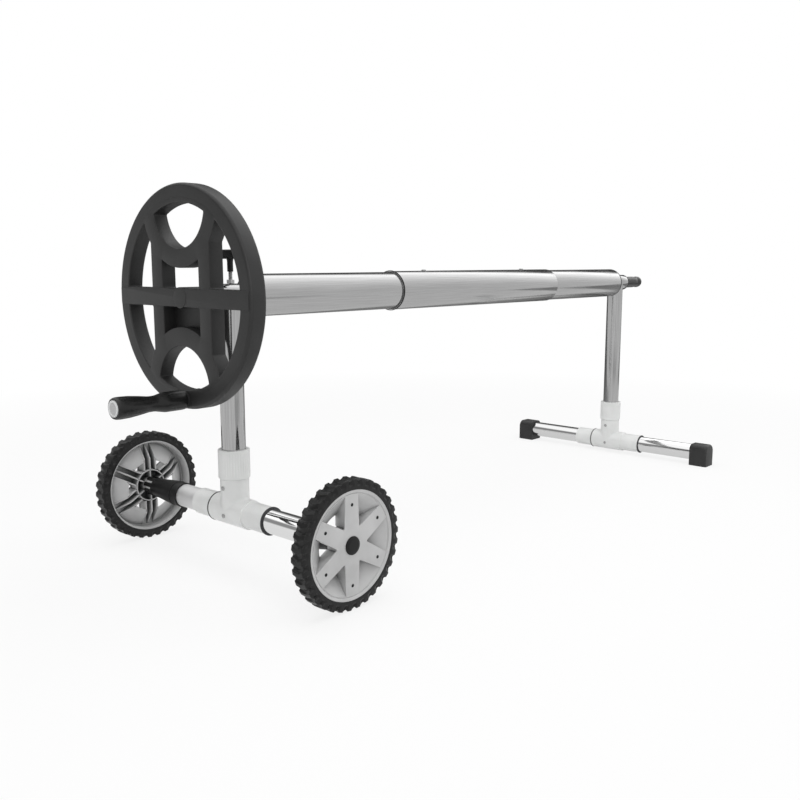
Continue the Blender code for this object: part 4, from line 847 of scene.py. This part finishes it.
def ground_wheel(label, way):
    """The wheel's moulded centre: a front plate with six flat spokes, and behind
    it each spoke's two side walls and middle rib, six sectors of a conical
    bowl, the barrel with its lip, the hub's ring and tube, and six short ribs."""
    axle, body = at(0, way * WHEEL_Y, DRIVE_BASE_Z), "wheel_" + label
    on_face = laid(axle + Y * way * WHEEL_FACE, X, Z, -Y * way)
    shells = moulding(circle(0.0886, 180), list(spoke_windows()), on_face, PLATE, 0.0008, 0.0009)
    behind, inside, bowl_foot = WHEEL_FACE - 0.0015, 0.0325, FLOOR + BOWL_WALL

    def back_of(radius):
        """Where the bowl's back meets a radius."""
        return WHEEL_BACK + (radius - bowl_foot) / BOWL_LEAN

    rib = dense([
        (inside, WHEEL_BACK), (bowl_foot, WHEEL_BACK), (SPOKE_REACH, back_of(SPOKE_REACH)), (SPOKE_REACH, behind),
        (inside, behind)], 0.006)
    short = dense([
        (0.016, WHEEL_BACK), (inside, WHEEL_BACK), (inside, PLATE_BACK + 0.001), (0.016, PLATE_BACK + 0.001)], 0.006)
    turns = [TAU * number / SPOKES for number in range(SPOKES)]
    for turn in turns:
        outward, across = X * sin(turn) + Z * cos(turn), X * cos(turn) - Z * sin(turn)
        for outline, offset, thickness in (
                (rib, -0.0149, 0.003), (rib, -0.0015, 0.003), (rib, 0.0119, 0.003), (short, -0.0012, 0.0024)):
            place = laid(axle + across * offset, outward, Y * way, across)
            shells += moulding(outline, [], place, thickness, 0.0004)
        shells += bowl_sector(turn, way, axle)
    rim = rounded([
        (0.005 - WHEEL_EDGE, BARREL), (-WHEEL_EDGE, LIP), (-WHEEL_EDGE, 0.095), (WHEEL_EDGE, 0.095),
        (WHEEL_EDGE, LIP), (WHEEL_FACE, MOUTH + 0.0008), (PLATE_BACK - 0.001, MOUTH - 0.0015),
        (back_of(BARREL) - 0.001, BARREL)], [0.001, 0.0004, 0.0004, 0.0004, 0.0006, 0.0004, 0, 0.001])
    shells.append(turned(rim * [way, 1], "Y", axle, 180))
    for outline in (
            [(WHEEL_BACK, 0.0313), (WHEEL_BACK, HUB_RING), (behind, HUB_RING), (behind, 0.0313)],
            [(-WHEEL_EDGE, 0.0063), (-WHEEL_EDGE, 0.0165), (behind, 0.0165), (behind, 0.0122), (0.0008, 0.0122),
             (0.0008, 0.0063)]):
        shells.append(turned(rounded(outline, 0.0004, 4) * [way, 1], "Y", axle))
    piece(f"wheel_{label}_centre", shells, WHEEL_GREY, body, "wheel_rim_" + label)
    # Painted shade: the dimples belong to the grey moulding and are coloured black for the shade in them
    cup = soft_profile([(12.5, 3.1, 0), (13.1, 3, 0.3), (13, 2.4, 0.2), (12.9, 0, 0)], 4) * [way, 1]
    dimples = [turned(cup, "Y", axle + 0.070 * (X * sin(turn) + Z * cos(turn)), 24) for turn in turns]
    piece(f"wheel_{label}_dimples", dimples, PLUG_BLACK, body, slot="grey_plastic")
    cap = soft_profile([
        (10.6, 0, 0), (10.6, 11.9, 0), (13.1, 11.9, 0), (13.1, 16.2, 0.4), (15.2, 15.8, 1.5), (16.6, 11.5, 3),
        (16.6, 0, 0)]) * [way, 1]
    piece(f"hub_{label}_cap", turned(cap, "Y", axle), PLUG_BLACK, body, "hub_cap_" + label)


# Brake and hub bolt

BRAKE = at(0.004)


def brake_handle():
    """The T-handle: a rounded bar 12 mm thick on a waisted stem."""
    bar = np.vstack(box_corners(0.028, 0.0673, 0.0843, 0.0055, 8))
    stem = soft_profile([
        (58.6, 0, 0), (58.6, 4.1, 0.3), (44.3, 4.1, 0.3), (44.3, 5.4, 0.8), (63.3, 5.4, 3), (68.3, 6.6, 2),
        (73.3, 5.8, 1), (73.3, 0, 0)])
    shells = moulding(dense(bar, 0.003), [], laid(at(-0.002), Y, Z, X), 0.012, 0.003)
    shells.append(turned(stem, "Z", BRAKE, SMALL_STEPS))
    piece("brake_t_handle", shells, PLUG_BLACK, "brake_knob", "brake_handle")


def brake_rod():
    """The M8 rod. Its radius is a triangle wave of the height less the turn's share of a pitch."""
    pitch, root, low = 0.00125, 0.00315, 0.0128
    rise = np.arange(low, 0.0583, pitch / 10)

    def thread(along, radius, turn):
        wave = np.abs(((along / pitch - turn / TAU) % 1) - 0.5) * 2
        taper = 0.0008 * ramp(along, low + 0.0012, low)
        return along, np.where(radius > 0.001, root + 0.00065 * wave - taper, radius)

    profile = np.vstack([[(rise[0], 0)], np.c_[rise, np.full(len(rise), 0.0038)], [(rise[-1], 0)]])
    piece("brake_threaded_rod", turned(profile, "Z", BRAKE, SMALL_STEPS, thread), ZINC, "brake_screw", "brake_rod")


def brake_nut():
    """A nut: its radius follows the hexagon, cut back by a chamfer cone at both ends."""
    apothem, start, end, bore = 0.0065, 0.0229, 0.0296, 0.0042
    rows = np.linspace(0, 1, 13)
    cone = apothem + np.minimum(rows, 1 - rows) * (end - start) * 1.8

    def facets(along, radius, turn):
        local = turn % (TAU / 6) - TAU / 12
        return along, np.where(radius > bore * 1.01, np.minimum(radius, apothem / np.cos(local)), radius)

    profile = np.vstack([[(start, bore)], np.c_[start + (end - start) * rows, cone], [(end, bore)]])
    piece("brake_hex_nut", turned(profile, "Z", BRAKE, ripple=facets), ZINC, "drive_stand", "brake_nut", sharp=25)


def hub_bolt():
    """Hex head and nut of the bolt across the hand wheel's hub."""
    bolt = soft_profile([
        (25.3, 0, 0), (25.3, 4.6, 0.8), (21.3, 5, 0.4), (21.3, 3, 0), (-21.3, 3, 0), (-21.3, 5, 0.4),
        (-25.3, 4.6, 0.8), (-25.3, 0, 0)], 4)
    piece("hub_cross_bolt", turned(bolt, "Z", at(-0.050), SMALL_STEPS), ZINC, "reel", "hub_bolt")


reel_tubes()
end_plug("drive_plug_face", 0.045, 1, 3, 2.7, "reel", "drive_plug")
end_plug("far_plug_face", 1.406, -1, 5.6, 4.9, "far_reel", "far_plug")
for label, station in (("drive", 0.547), ("far", 0.937)):
    domed_screw(f"sleeve_screw_{label}", at(station, 0, REEL_Z + 0.0423), 0.0055, 0.0025, "Z", 1, "sleeve",
                "set_screw_" + label, reach=0.0017)
hand_wheel()
grips()
stand("drive", 0, DRIVE_BASE_Z, "drive_stand")
stand("far", FAR_LEG, FAR_BASE_Z, "far_stand")
base_tube("drive", DRIVE_FOOT, 174.5, 210.5, WORN_CHROME, "drive_stand")
base_tube("far", at(FAR_LEG, 0, FAR_BASE_Z), 310.7, 310.7, CHROME, "far_stand")
foot_caps()
base_ends()
for label, way in SIDES:
    tyre(label, way)
    ground_wheel(label, way)
brake_handle()
brake_rod()
brake_nut()
hub_bolt()

# CAD nodes that stay in view keep their shape and get a real finish
for name in ("drive_axle", "far_axle", "crank_spindle", "wheel_axle", "axle_nut_left", "axle_nut_right"):
    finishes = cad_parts[name].data.materials
    finishes.clear()
    finishes.append(ZINC)


# Studio

# Directions of the set behind the part: straight back and down, and to the left
STRAIGHT_BACK = (0.733, 0.662, -0.155)
TO_THE_LEFT = (-0.670, 0.742, 0)
WHITE = [1, 1, 1, 1]
BRIGHTEST = 2.2


def empty_tree(owner):
    owner.use_nodes = True
    owner.node_tree.nodes.clear()
    return owner.node_tree


def reach_along(vector, way):
    """How far a vector reaches along a direction."""
    return add(vector.id_data, "ShaderNodeVectorMath", {0: vector, 1: way}, operation="DOT_PRODUCT").outputs["Value"]


def one_of(share, first, second):
    """The first shader where the share is 0, and the second where it is 1."""
    return add(share.id_data, "ShaderNodeMixShader", {"Fac": share, 1: first, 2: second}).outputs[0]


def levels(value, stops):
    """Light levels given at some values from -1 to 1, as shares of the brightest."""
    made = add(value.id_data, "ShaderNodeValToRGB", {"Fac": spread(value, -1, 1, 0, 1)})
    marks = made.color_ramp.elements
    marks.remove(marks[1])
    first, *others = [((spot + 1) / 2, [level / BRIGHTEST] * 3 + [1]) for spot, level in stops]
    marks[0].position, marks[0].color = first
    for spot, shade in others:
        marks.new(spot).color = shade
    return made.outputs["Color"]


def studio_walls():
    """White walls to the eye, and plain soft light on the part. The metals see
    the set as a product studio has it: a dark flag straight behind the part,
    which draws thin dark lines along the tubes' edges, a soft box above it,
    and on the left a dark strip low down."""
    world = bpy.context.scene.world = bpy.data.worlds.new("studio")
    tree = empty_tree(world)

    def light(shade, strength):
        return add(tree, "ShaderNodeBackground", {"Color": shade, "Strength": strength}).outputs[0]

    path = add(tree, "ShaderNodeLightPath").outputs
    direction = add(tree, "ShaderNodeTexCoord").outputs["Generated"]
    height = part_of(direction, "Z")
    # To the right, levels go by the direction's angle about the reel, in degrees from level at the back
    about = product(worked("ARCTAN2", height, part_of(direction, "Y")), 1 / pi)
    right = levels(about, [(angle / 180, level) for angle, level in (
        (-180, 0.84), (-90, 0.84), (0, 0.08), (44, 0.1), (53, 0.3), (59, 1.2), (66, 2.2), (78, 2.1), (88, 1.75),
        (102, 1.6), (117, 1.3), (129, 1.17), (143, 1.0), (160, 0.9), (180, 0.84))])
    left = levels(height, [(-1, 0.9), (0.05, 0.9), (0.18, 0.3), (0.46, 0.3), (0.60, 1.4), (1, 1.4)])
    unflagged = spread(reach_along(direction, STRAIGHT_BACK), 0.76, 0.82, 1, 0.1)
    left = blended(1.0, left, unflagged, blend_type="MULTIPLY")
    mirrored = blended(spread(reach_along(direction, TO_THE_LEFT), 0.10, 0.32, 0, 1), right, left)
    lit = one_of(path["Is Glossy Ray"], light(WHITE, 0.60), light(mirrored, BRIGHTEST))
    add(tree, "ShaderNodeOutputWorld", {"Surface": one_of(path["Is Camera Ray"], lit, light(WHITE, 1.0))})


def studio_floor():
    """A pale floor that fades to the walls' white with distance. Metals see it
    light, with three dark cloths on it: one left of the reel for the tubes high
    above it, one far beyond the far stand, and a paler one in front."""
    look = bpy.data.materials.new("pale studio floor")
    tree = empty_tree(look)
    path = add(tree, "ShaderNodeLightPath").outputs
    where = add(tree, "ShaderNodeTexCoord").outputs["Object"]
    x, y = part_of(where, "X"), part_of(where, "Y")
    front = product(
        spread(reach_along(where, (-0.9, -1, 0)), 1.2, 1.6, 0, 0.4),
        product(spread(x, -1.4, -1.1, 0, 1), spread(y, -1.6, -1.4, 1, 0)))
    front = product(front, spread(y, -3.0, -2.5, 0, 1))
    beyond = product(spread(x, 2.1, 2.3, 0, 0.65), spread(y, -1.3, -1.1, 0, 1))
    beside = product(spread(y, 0.10, 0.25, 0, 0.82), spread(x, -0.45, -0.35, 0, 1))
    beside = product(beside, spread(path["Ray Length"], 0.70, 0.76, 0, 1))
    covered = worked("MAXIMUM", worked("MAXIMUM", beyond, beside), front)
    reflected = product(worked("SUBTRACT", 1.0, covered), 0.88)
    glossy = path["Is Glossy Ray"]
    direct = worked("MAXIMUM", worked("MAXIMUM", path["Is Camera Ray"], glossy), path["Is Transmission Ray"])
    far = add(tree, "ShaderNodeVectorMath", {0: where}, operation="LENGTH").outputs["Value"]
    level = add(tree, "ShaderNodeMix", {"Factor": glossy, "A": 1.0, "B": reflected})
    matt = add(tree, "ShaderNodeBsdfDiffuse", {"Color": [0.86, 0.86, 0.86, 1]})
    glow = add(tree, "ShaderNodeEmission", {"Color": WHITE, "Strength": level.outputs["Result"]})
    surface = one_of(product(direct, spread(far, 1.2, 2.6, 0.8, 1.0)), matt.outputs[0], glow.outputs[0])
    add(tree, "ShaderNodeOutputMaterial", {"Surface": surface})
    mesh = bpy.data.meshes.new("floor")
    mesh.from_pydata([(40 * side, 40 * level, 0) for side, level in CORNERS], [], [range(4)])
    mesh.materials.append(look)
    new_object("floor", mesh)


def studio_lamps():
    """Three area lamps aimed at the part: place, side in metres, watts, and if metals mirror them."""
    target = Vector((0, 0, 0.35))
    for name, place, size, power, mirrored in (
            ("overhead softbox", (-0.2, -0.3, 2.8), 3.2, 50, False),
            ("near fill", (-2.6, -2.6, 1.8), 2.0, 16, True), ("far fill", (2.4, -2.0, 1.6), 1.8, 7, False)):
        lamp = bpy.data.lights.new(name, "AREA")
        lamp.size, lamp.energy = size, power
        made = new_object(name, lamp)
        made.location = place
        made.rotation_euler = (target - Vector(place)).to_track_quat("-Z", "Y").to_euler()
        made.visible_glossy = mirrored


def camera():
    """The photograph's own view, from its vanishing lines and known heights."""
    focal_pixels, frame_pixels = 883.26, 800
    below_level, right_of_y = 8.895, 47.91
    lens = bpy.data.cameras.new("camera")
    lens.sensor_width = 36
    lens.lens = 36 * focal_pixels / frame_pixels
    made = bpy.context.scene.camera = new_object("camera", lens)
    made.location = (-0.9988 - MIDDLE, -1.3239, 0.5811)
    made.rotation_euler = (radians(90 - below_level), 0, -radians(right_of_y))


bpy.context.scene.view_settings.view_transform = "Standard"
studio_walls()
studio_floor()
studio_lamps()
camera()
